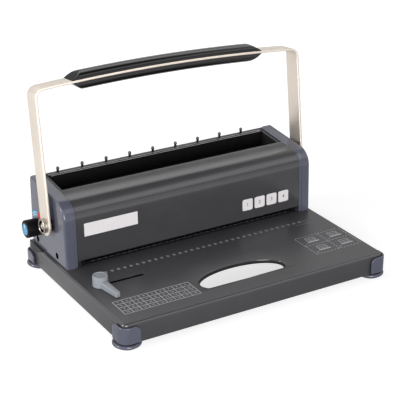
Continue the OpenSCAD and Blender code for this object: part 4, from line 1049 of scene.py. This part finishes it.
class BINDER_OT_pivots(bpy.types.Operator):
    """Makes the raised cups, the black film in them that is painted shade, and the nuts on the bolts at the
    handle's arms
    """
    bl_idname = "binder.pivots"
    bl_label = "Pivot bolts"

    def execute(self, context):
        washer = node_box("pivot_washers")
        bolt = node_box("pivot_bolts")
        r = (washer[1][2] - washer[0][2]) / 2
        head = (bolt[1][2] - bolt[0][2]) / 2
        nut_r, nut_tip = 0.64 * head, 0.54 * head
        face = node_box("handle_bar")[1][0]
        seat = washer[1][0]
        end = seat + 3 * MM
        rim = seat + 3.2 * MM
        soft = 0.4 * MM
        bowl = r - 1.5 * MM
        bore = 3 * MM
        cup = [[bore, face], [r - soft, face], [r, face + soft], [r, rim - 1.5 * soft],
               [r - soft, rim - soft / 3], [r - 1.5 * soft, rim], [bowl + soft, rim], [bowl, rim - soft],
               [bowl, seat], [bore, seat], [bore, face]]
        # The painted shade is a thin black film on the cup's floor and wall
        wall = bowl - 0.05 * MM
        floor = seat + 0.02 * MM
        film = seat + 0.15 * MM
        lip = rim - 1.2 * MM
        shade_lining = [[bore, floor], [wall, floor], [wall, lip], [wall - 0.1 * MM, lip],
                  [wall - 0.1 * MM, film], [bore, film], [bore, floor]]
        nut = [[0, seat], [nut_r, seat], [nut_r, rim - 1.6 * MM], [nut_tip, rim - 1.1 * MM],
               [0, rim - 1.1 * MM]]
        # Bolt with its rounded end
        thread = 2.6 * MM
        root = face - 14 * MM
        shank = [[0, root], [bore, root], [bore, seat + 1 * MM], [thread, seat + 1 * MM],
                 [thread, end - 0.5 * MM], [2 * MM, end], [0, end]]
        add_piece("pivot_washers_skin", at_both_arms((cup, 64)), zinc_plate(), "handle",
                  ["pivot_washers"])
        add_piece("pivot_cup_linings", at_both_arms((shade_lining, 64)), phosphate_and_shade_black(),
                  "handle")
        add_piece("pivot_bolts_skin", at_both_arms((nut, 6), (shank, 32)), zinc_plate(),
                  "handle", ["pivot_bolts"], sharp=30)
        return {"FINISHED"}


def ring_part(r0, r1, start, end):
    """A flat part of a ring about the knob, on the left cap: radii in mm and angles in degrees."""
    start, end = np.radians([start, end])
    outline = np.concatenate([arc(0, r0 * MM, start, end, 24), arc(0, r1 * MM, end, start, 24)])
    return prism(outline, KNOB * [0, 1, 1] - CAP[1][0] * X, Y, Z, -X, 0.08 * MM)


class BINDER_OT_knob(bpy.types.Operator):
    """Makes the selector knob, its blue disc and the coloured scale on the cap"""
    bl_idname = "binder.knob"
    bl_label = "Selector knob"

    def execute(self, context):
        low, high = node_box("selector_knob")
        disc = node_box("knob_disc")
        centre = KNOB * [0, 1, 1]
        root = (high[2] - low[2]) / 2
        tip = root + 0.3 * MM
        disc_r = min((disc[1][2] - disc[0][2]) / 2, 7.4 * MM)
        x0, x1 = -high[0], -low[0]
        seat, out = -disc[1][0], -disc[0][0]
        edge = 1.6 * MM
        bore = 4 * MM
        deep = x0 + 11.5 * MM
        recess = disc_r + 0.05 * MM
        profile = np.concatenate([
            [[bore, deep], [bore, x0], [root - 0.8 * MM, x0], [root - 0.2 * MM, x0 + 0.3 * MM],
             [root, x0 + 1 * MM]],
            arc((tip - edge, x1 - edge), edge, 0, QUARTER),
            [[recess + 0.1 * MM, x1], [recess, x1 - 0.1 * MM], [recess, seat], [0, seat], [0, deep],
             [bore, deep]]])
        add_piece("selector_knob_skin", lathe(profile, centre, -X, 96), black_nylon(),
                  "selector", ["selector_knob"])
        soft = 0.25 * MM
        back = seat + 0.02 * MM
        face = [[0, back], [disc_r, back], [disc_r, out - soft], [disc_r - soft, out], [0, out]]
        add_piece("knob_disc_skin", lathe(face, centre, -X, 96), blue_film(), "selector",
                  ["knob_disc"])
        # Plain pointer on the disc
        bar = fillet(rectangle(-0.8, 1.5, 0.8, 6.5) * MM, 0.5 * MM, 3)
        add_piece("knob_pointer", prism(bar, centre - out * X, Y, Z, -X, 0.06 * MM), vinyl_label(),
                  "selector")
        # Three blue bands with white lines between them, and a red field beside them
        bands, field = (40, 92), (95, 128)
        blue = [ring_part(r, r + 2, *bands) for r in (13, 16, 19)]
        white = [ring_part(r, r + 1, *bands) for r in (15, 18)]
        add_piece("knob_scale_blue", joined(*blue), screen_ink("disc"))
        add_piece("knob_scale_white", joined(*white), screen_ink("label"))
        add_piece("knob_scale_red", ring_part(13, 21, *field), screen_ink("red"))
        return {"FINISHED"}


class BINDER_OT_pins(bpy.types.Operator):
    """Makes the row of hanger pins with their round heads"""
    bl_idname = "binder.pins"
    bl_label = "Hanger pins"

    def execute(self, context):
        low, high = node_box("wire_hanger_pins")
        count = 9
        r = (high[1] - low[1]) / 2
        shank = 1.6 * MM
        tall = r * 1.15
        top = high[2] - 1.3 * MM
        head = [0, top - tall] + arc(0, 1, -0.3 * np.pi, QUARTER, 14) * [r, tall]
        neck = head[0][1]
        stem = [[0, low[2]], [shank, low[2]], [shank, neck - 1 * MM], [shank + 0.2 * MM, neck - 0.4 * MM]]
        profile = np.concatenate([stem, head])
        pins = [lathe(profile, np.array([x, (low[1] + high[1]) / 2, 0]), Z, 24)
                for x in np.linspace(low[0] + r, high[0] - r, count)]
        add_piece("wire_hanger_pins_skin", joined(*pins), black_oxide(),
                  stands_for=["wire_hanger_pins"])
        return {"FINISHED"}


class BINDER_OT_springs(bpy.types.Operator):
    """Makes the two return springs below the punch bar, at rest; the real ones shorten with its stroke"""
    bl_idname = "binder.springs"
    bl_label = "Return springs"

    def execute(self, context):
        """Each is a round wire carried along a helix, whose turn grows evenly with its height."""
        low, high = node_box("punch_springs")
        wire = 0.5 * MM
        turns = 4.5
        r = (high[1] - low[1]) / 2 - wire
        t = np.linspace(0, 1, 109)[:, None]
        a = 2 * np.pi * turns * t
        b = np.linspace(0, 2 * np.pi, 10, endpoint=False)[None]
        reach = r + wire * np.cos(b)
        rise = (high[2] - low[2] - 2 * wire) * t
        coil = np.stack([reach * np.cos(a), reach * np.sin(a), wire * np.sin(b) + rise], -1)
        feet = [np.array([x, (low[1] + high[1]) / 2, low[2] + wire])
                for x in (low[0] + r + wire, high[0] - r - wire)]
        coils = joined(*[surface(coil + foot, close_columns=True, caps=True) for foot in feet])
        piece = add_piece("punch_springs_coils", coils, tool_steel(),
                          stands_for=["punch_springs"])
        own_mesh(piece)
        return {"FINISHED"}


def hole_places(s):
    """Places along X of the row of holes, about the middle."""
    return (np.arange(s.holes) - (s.holes - 1) / 2) * s.pitch


class BINDER_OT_edges(bpy.types.Operator):
    """Makes the bare sheared edges of the rail, the jaw and the die"""
    bl_idname = "binder.edges"
    bl_label = "Bare edges"

    def execute(self, context):
        r = 0.35 * MM
        for name, body in (("wire_hanger_rail", BODY), ("moving_jaw", "closer")):
            low, high = node_box(name)
            line = np.array([0, low[1] + r / 2, high[2] - r / 2])
            bead = rod(line, low[0] + 1 * MM, high[0] - 1 * MM, r, segments=8)
            add_piece(f"{name}_edge", bead, ground_steel(), body)
        # A bright spot at each hole of the die
        low, high = node_box("die_plate")
        start = np.array([-3 * MM, low[1] - 0.12 * MM, high[2] - 0.45 * MM])
        end = np.array([3 * MM, low[1] + 0.2 * MM, high[2]])
        spots = [box_shell(start + x * X, end + x * X) for x in hole_places(context.scene.binder_prints)]
        add_piece("die_plate_edge", joined(*spots), tool_steel())
        return {"FINISHED"}


def lever_shell(place, start, reach):
    """The guide's lever: a rounded section carried outwards from its turret, lower and narrower to its tip.

    Over the last stretch the section shrinks along a circle, so that the tip has soft edges.
    """
    turn = np.radians(7)
    along = np.array([np.sin(turn), -np.cos(turn), 0])
    across = np.array([np.cos(turn), np.sin(turn), 0])
    tip = 1.2 * MM
    d = np.concatenate([np.linspace(start, reach - tip, 10),
                        reach - tip * (1 - np.sin(np.linspace(0.2, QUARTER, 6)))])[:, None]
    near = np.clip((reach - d) / tip, 0, 1)
    shrink = 0.9 * MM * (1 - np.sqrt(1 - (1 - near) ** 2))
    # From 10 mm wide and 9.5 mm high at the turret's axis to 6 mm both ways at the tip
    width = (10 - 4 * d / reach) * MM - 2 * shrink
    rise = (9.5 - 3.5 * d / reach) * MM - shrink
    shape = fillet(rectangle(-0.5, 0, 0.5, 1), [0.06, 0.06, 0.16, 0.16], 4)
    section = np.stack([shape[:, 0] * width, shape[:, 1] * rise], -1)
    return sweep(section, place + d * along, across, Z)


class BINDER_OT_guide(bpy.types.Operator):
    """Makes the edge guide's turret and its sloped lever"""
    bl_idname = "binder.guide"
    bl_label = "Guide lever"

    def execute(self, context):
        low, high = node_box("guide_lever")
        z0, z1 = low[2], high[2]
        r = 9.25 * MM
        bore = 3.05 * MM
        deep = z1 - 3.9 * MM
        edge = 1.1 * MM
        dish = z1 - 0.5 * MM
        profile = np.concatenate([
            [[bore, deep], [bore, z0], [r - 0.4 * MM, z0], [r, z0 + 0.4 * MM]],
            arc((r - edge, z1 - edge), edge, 0, QUARTER),
            [[r - 2.2 * MM, z1], [r - 2.6 * MM, dish], [0, dish], [0, deep], [bore, deep]]])
        turret = lathe(profile, TURRET * [1, 1, 0], Z, 72)
        lever = lever_shell(TURRET * [1, 1, 0] + z0 * Z, start=0.9 * r, reach=37 * MM)
        add_piece("guide_lever_skin", joined(turret, lever), grey_nylon(), "guide_clamp",
                  ["guide_lever"])
        return {"FINISHED"}


def figure(text, height, place, up=Y):
    """Plain flat figures, centred on a place in space, upright along up: their outline's faces."""
    curve = bpy.data.curves.new("figure", "FONT")
    curve.body = text
    curve.size = height
    curve.resolution_u = 3
    curve.align_x = "CENTER"
    curve.align_y = "CENTER"
    holder = bpy.data.objects.new("figure", curve)
    bpy.context.scene.collection.objects.link(holder)
    bpy.context.view_layer.update()
    mesh = bpy.data.meshes.new_from_object(holder.evaluated_get(bpy.context.evaluated_depsgraph_get()))
    points = np.zeros(len(mesh.vertices) * 3)
    mesh.vertices.foreach_get("co", points)
    faces = [list(p.vertices) for p in mesh.polygons]
    bpy.data.objects.remove(holder)
    bpy.data.curves.remove(curve)
    bpy.data.meshes.remove(mesh)
    points = points.reshape(-1, 3)
    return place + points[:, :1] * X + points[:, 1:2] * up, faces


class BINDER_OT_labels(bpy.types.Operator):
    """Makes the blank label and the four numbered labels on the front cover"""
    bl_idname = "binder.labels"
    bl_label = "Front labels"

    def execute(self, context):
        s = context.scene.binder_tower
        rise = s.nose_z - TOP
        lean = s.nose_y - s.nose - CAP[0][1]
        up = np.array([0, lean, rise]) / np.hypot(lean, rise)
        normal = np.array([0, -up[2], up[1]])

        def on_front(x, z):
            """The point of the leaning front at x and height z."""
            return np.array([x, front_depth(s, z, s.cover_inset), z])

        def label(place, width, height, corner):
            """A thin rounded plate on the leaning front, with sizes in mm."""
            outline = fillet(rectangle(-width / 2, -height / 2, width / 2, height / 2) * MM, corner * MM)
            return prism(outline, place, X, up, normal, 0.12 * MM)

        add_piece("front_label", label(on_front(-114 * MM, 78.1 * MM), 72, 16.7, 0.6), vinyl_label())
        first, spacing, height = 80.75, 18.3, 59.4
        places = [on_front((first + k * spacing) * MM, height * MM) for k in range(4)]
        squares = [label(place, 15.5, 15.3, 2.5) for place in places]
        add_piece("number_labels", joined(*squares), vinyl_label())
        figures = [figure(str(k + 1), 7 * MM, place + 0.16 * MM * normal, up)
                   for k, place in enumerate(places)]
        add_piece("label_figures", joined(*figures), screen_ink("dark_ink"), closed=False)
        return {"FINISHED"}


def bars(x0, y0, x1, y1, z):
    """Flat rectangles at height z that face up, one for each set of edges; a plain number holds for all."""
    x0, y0, x1, y1 = np.broadcast_arrays(*np.atleast_1d(x0, y0, x1, y1))
    points = np.stack([x0, y0, x1, y0, x1, y1, x0, y1], -1).reshape(-1, 2)
    return level(points, z), np.arange(len(points)).reshape(-1, 4).tolist()


def ruled(x, y, line, z):
    """Ruled table: upright lines at each x over the height, level lines at each y over the width."""
    h = line / 2
    return joined(bars(x - h, y[0] - h, x + h, y[-1] + h, z), bars(x[0] - h, y - h, x[-1] + h, y + h, z))


def hole_scale(s, z):
    """A dash for each hole, and at the row's end a small box and a line under it."""
    x = 2 * MM + hole_places(s)
    y = -3.2 * MM
    half_w, half_h = 1.8 * MM, 2.2 * MM
    dashes = bars(x - half_w, y - half_h, x + half_w, y + half_h, z)
    last = x[-1] + 4 * MM
    box = ruled(last + np.array([0, 8]) * MM, y + np.array([-2, 2]) * MM, s.line, z)
    low = y - 8 * MM
    under = bars(last - 14 * MM, low, last + 7 * MM, low + s.line, z)
    return joined(dashes, box, under)


def number_table(s, z):
    """A ruled table of nine columns and four rows, whose numbers grow by one across and by three down."""
    x = np.linspace(-166, -67, 10) * MM
    y = np.linspace(-106.5, -74.5, 5) * MM
    cells = [figure(str(j + 1 + 3 * (3 - i)), 4.6 * MM, np.array([u, v, z]))
             for i, v in enumerate((y[:-1] + y[1:]) / 2) for j, u in enumerate((x[:-1] + x[1:]) / 2)]
    return joined(ruled(x, y, s.line, z), *cells)


def picture_panel(s, z):
    """Panel of four plain pictures: a dashed frame with a cross, and a sheet over a bar in each cell."""
    left, split, right = np.array([107, 141, 174]) * MM
    front, middle, back = np.array([-92, -67.5, -43]) * MM
    h = s.line / 2
    dash, step = 3 * MM, 5 * MM
    t = np.arange(left, right - dash, step)
    panel = [bars(t, v - h, t + dash, v + h, z) for v in (front, middle, back)]
    t = np.arange(front, back - dash, step)
    panel += [bars(u - h, t, u + h, t + dash, z) for u in (left, split, right)]
    for number, (u, v) in enumerate(((left, middle), (split, middle), (left, front), (split, front))):
        panel.append(figure(str(number + 1), 5 * MM, np.array([u + 4.5 * MM, v + 4.5 * MM, z])))
        panel.append(bars(u + 9 * MM, v + 7 * MM, u + 26 * MM, v + 9.5 * MM, z))
        panel.append(ruled(u + np.array([11, 24]) * MM, v + np.array([11.5, 15, 19]) * MM, s.line, z))
    return joined(*panel)


class BINDER_OT_prints(bpy.types.Operator):
    """Prints the hole scale, the number table and the plain pictures on the base"""
    bl_idname = "binder.prints"
    bl_label = "Printed marks"

    def execute(self, context):
        s = context.scene.binder_prints
        z = TOP + 0.05 * MM
        prints = {"hole_scale_print": (hole_scale, "faint_ink"),
                  "number_table_print": (number_table, "ink"),
                  "picture_panel_print": (picture_panel, "ink")}
        for name, (drawn, shade) in prints.items():
            add_piece(name, drawn(s, z), screen_ink(shade), closed=False)
        return {"FINISHED"}


def soften(node, width):
    """Joins a CAD node's loose triangles and rounds its edges by a small width, with modifiers only."""
    weld = node.modifiers.new("Join", "WELD")
    weld.merge_threshold = 1e-6
    bevel = node.modifiers.new("Soft edges", "BEVEL")
    bevel.width = width
    bevel.segments = 2
    bevel.limit_method = "ANGLE"
    bevel.angle_limit = np.radians(50)


class BINDER_OT_finishes(bpy.types.Operator):
    """Gives every CAD node that stays its finish, and soft edges where it shows"""
    bl_idname = "binder.finishes"
    bl_label = "Finishes of the frame"

    def execute(self, context):
        kinds = {
            powder_coat: ["rear_cover"],
            ground_steel: ["jaw_slides", "punch_bar", "selector_shaft", "paper_stop"],
            tool_steel: ["guide_posts", "punch_pinions", "jaw_gears", "punches",
                         "punch_racks", "jaw_racks", "selector_cam"],
            zinc_plate: ["foot_screws", "rear_cover_screws", "cap_screws", "frame_screws", "die_screws"],
            sintered_bronze: ["left_shaft_bush", "right_shaft_bush", "selector_bush"],
            black_lacquer: ["tray_runners", "wire_hanger_rail", "left_side_frame", "right_side_frame"],
            # The guide channel and the drive shaft are black as painted shade in the guide slot and in the
            # gap at the pivot
            phosphate_and_shade_black: ["closing_channel", "fixed_jaw", "moving_jaw", "guide_channel", "die_plate",
                              "stripper_plate", "throat_spacers", "drive_shaft"],
            grey_nylon: ["guide_slider"],
            tray_abs: ["chip_tray", "tray_long_walls", "tray_end_walls", "tray_ears"],
        }
        # Width of the soft edges in mm
        shown = {"rear_cover": 0.4, "closing_channel": 0.4, "fixed_jaw": 0.8, "wire_hanger_rail": 0.4,
                 "moving_jaw": 0.4, "chip_tray": 0.4, "tray_long_walls": 0.5, "tray_end_walls": 0.5,
                 "tray_ears": 0.6, "stripper_plate": 0.3, "die_plate": 0.3, "tray_runners": 0.3}
        for kind, names in kinds.items():
            for name in names:
                node = frame["nodes"][name]
                node.data.materials.clear()
                node.data.materials.append(kind())
                if name in shown:
                    soften(node, shown[name] * MM)
        return {"FINISHED"}


def grey(value):
    """A neutral colour of one brightness."""
    return (value, value, value, 1)


def paper_sweep():
    """White paper sweep: it glows a little to the camera, so that it reads white and keeps the shadow.

    In reflections it is bright behind the object and far in front of it, and darker close in front.
    """
    material = bpy.data.materials.new("white_paper_sweep")
    material.use_nodes = True
    tree = material.node_tree
    tree.nodes.remove(tree.nodes["Principled BSDF"])
    path = add_node(tree, "ShaderNodeLightPath")
    place = add_node(tree, "ShaderNodeTexCoord").outputs["Object"]
    away = add_node(tree, "ShaderNodeVectorMath", {0: place}, operation="LENGTH")
    strength = add_node(tree, "ShaderNodeMapRange", {
        "Value": away.outputs["Value"], "From Min": 0.3, "From Max": 1.2, "To Min": 0.72, "To Max": 1.0})
    paper = add_node(tree, "ShaderNodeBsdfDiffuse", {"Color": grey(0.6)})
    glow = add_node(tree, "ShaderNodeEmission", {"Color": grey(1), "Strength": strength.outputs[0]})
    seen = add_node(tree, "ShaderNodeAddShader", {0: paper.outputs[0], 1: glow.outputs[0]})
    depth = add_node(tree, "ShaderNodeSeparateXYZ", {0: place}).outputs["Y"]
    behind = add_node(tree, "ShaderNodeMapRange", {
        "Value": depth, "From Min": -0.14, "From Max": 0.05, "To Min": 0.3, "To Max": 0.85})
    ahead = add_node(tree, "ShaderNodeMapRange", {
        "Value": depth, "From Min": -0.36, "From Max": -0.24, "To Min": 1.0, "To Max": 0.3})
    around = add_node(tree, "ShaderNodeMath", {
        0: behind.outputs[0], 1: ahead.outputs[0]}, operation="MAXIMUM")
    mirrored = add_node(tree, "ShaderNodeMath", {
        0: path.outputs["Is Glossy Ray"], 1: around.outputs[0]}, operation="MULTIPLY")
    dull = add_node(tree, "ShaderNodeBsdfDiffuse", {"Color": grey(0.25)})
    white = add_node(tree, "ShaderNodeEmission", {"Color": grey(1), "Strength": mirrored.outputs[0]})
    unseen = add_node(tree, "ShaderNodeAddShader", {0: dull.outputs[0], 1: white.outputs[0]})
    both = add_node(tree, "ShaderNodeMixShader", {
        0: path.outputs["Is Camera Ray"], 1: unseen.outputs[0], 2: seen.outputs[0]})
    tree.links.new(both.outputs[0], tree.nodes["Material Output"].inputs["Surface"])
    return material


def studio(s):
    """White to the camera, an even fill on the object, and a studio's walls in reflections.

    There the white sweep rises to a grey gap, a bright band stands above it, and then a dark ceiling.
    """
    world = bpy.data.worlds.new("studio")
    world.use_nodes = True
    tree = world.node_tree
    path = add_node(tree, "ShaderNodeLightPath")
    texture = add_node(tree, "ShaderNodeTexCoord")
    way = add_node(tree, "ShaderNodeSeparateXYZ", {0: texture.outputs["Generated"]})
    ramp = add_node(tree, "ShaderNodeValToRGB", {0: way.outputs["Z"]})
    # Brightness at the sine of each height above the floor
    stops = ramp.color_ramp.elements
    first, last = stops
    first.position, first.color = 0.24, grey(s.sweep)
    last.position, last.color = 0.86, grey(s.ceiling)
    for height, bright in ((0.34, s.gap), (0.42, s.gap), (0.50, 1.0), (0.74, 1.0)):
        stops.new(height).color = grey(bright)
    band = add_node(tree, "ShaderNodeMath", {0: ramp.outputs["Color"], 1: s.band}, operation="MULTIPLY")
    mirrored = add_node(tree, "ShaderNodeMath", {
        0: path.outputs["Is Glossy Ray"], 1: path.outputs["Is Transmission Ray"]}, operation="MAXIMUM")
    unseen = add_node(tree, "ShaderNodeMix", {0: mirrored.outputs[0], 2: s.fill, 3: band.outputs[0]})
    strength = add_node(tree, "ShaderNodeMix", {
        0: path.outputs["Is Camera Ray"], 2: unseen.outputs[0], 3: 1.0})
    background = tree.nodes["Background"]
    background.inputs["Color"].default_value = grey(1)
    tree.links.new(strength.outputs[0], background.inputs["Strength"])
    return world


def lamp(name, place, aim, size, power):
    """A square soft lamp at a place, turned towards a point."""
    light = bpy.data.lights.new(name, "AREA")
    light.energy = power
    light.size = size
    holder = bpy.data.objects.new(name, light)
    holder.location = place
    ahead = np.subtract(aim, place)
    flat = np.hypot(ahead[0], ahead[1])
    holder.rotation_euler = (np.arctan2(flat, -ahead[2]), 0, np.arctan2(-ahead[0], ahead[1]))
    bpy.context.scene.collection.objects.link(holder)


class BINDER_OT_stage(bpy.types.Operator):
    """Sets the pale floor, the soft studio light and the camera"""
    bl_idname = "binder.stage"
    bl_label = "Stage"

    def execute(self, context):
        scene = context.scene
        s = scene.binder_stage
        scene.view_settings.view_transform = "Standard"
        far = 6.0
        floor = add_piece("floor", bars(-far, -far, far, far, 0.0), paper_sweep(), body="", closed=False)
        scene.world = studio(s)
        aim = (0, 0.02, 0.08)
        lamp("key_lamp", (-0.3, 0.7, 1.6), aim, 0.8, s.key)
        lamp("front_lamp", (-0.6, -1.9, 0.5), aim, 0.9, s.front)
        lamp("side_lamp", (-1.6, 0.2, 0.6), aim, 0.6, s.side)
        camera = bpy.data.cameras.new("camera")
        camera.lens = s.focal
        camera.sensor_width = 36
        holder = bpy.data.objects.new("camera", camera)
        holder.location = (-0.73217, -1.22220, 0.71962)
        holder.rotation_euler = (QUARTER - s.pitch, 0, -s.turn)
        scene.collection.objects.link(holder)
        scene.camera = holder
        return {"FINISHED"}


STEPS = (
    BINDER_OT_base, BINDER_OT_feet, BINDER_OT_caps, BINDER_OT_cover, BINDER_OT_handle, BINDER_OT_grip,
    BINDER_OT_pivots, BINDER_OT_knob, BINDER_OT_pins, BINDER_OT_springs, BINDER_OT_edges, BINDER_OT_guide,
    BINDER_OT_labels, BINDER_OT_prints, BINDER_OT_finishes, BINDER_OT_stage)
GROUPS = {"binder_base": BaseSizes, "binder_tower": TowerSizes, "binder_handle": HandleSizes,
          "binder_prints": PrintSizes, "binder_colours": Colours, "binder_stage": StageSizes}


class BINDER_PT_panel(bpy.types.Panel):
    """Lists the pieces and their sizes and colours"""
    bl_idname = "BINDER_PT_panel"
    bl_label = "Wire binding machine"
    bl_space_type = "VIEW_3D"
    bl_region_type = "UI"
    bl_category = "Binder"

    def draw(self, context):
        for step in STEPS:
            self.layout.operator(step.bl_idname)
        for key, group in GROUPS.items():
            box = self.layout.box()
            for name in group.__annotations__:
                box.prop(getattr(context.scene, key), name)


def register():
    for item in (*GROUPS.values(), *STEPS, BINDER_PT_panel):
        bpy.utils.register_class(item)
    for key, group in GROUPS.items():
        setattr(bpy.types.Scene, key, PointerProperty(type=group))


def unregister():
    for key in GROUPS:
        delattr(bpy.types.Scene, key)
    for item in (BINDER_PT_panel, *STEPS[::-1], *list(GROUPS.values())[::-1]):
        bpy.utils.unregister_class(item)


def main():
    register()
    for step in STEPS:
        group, name = step.bl_idname.split(".")
        getattr(getattr(bpy.ops, group), name)()


if __name__ == "__main__":
    main()
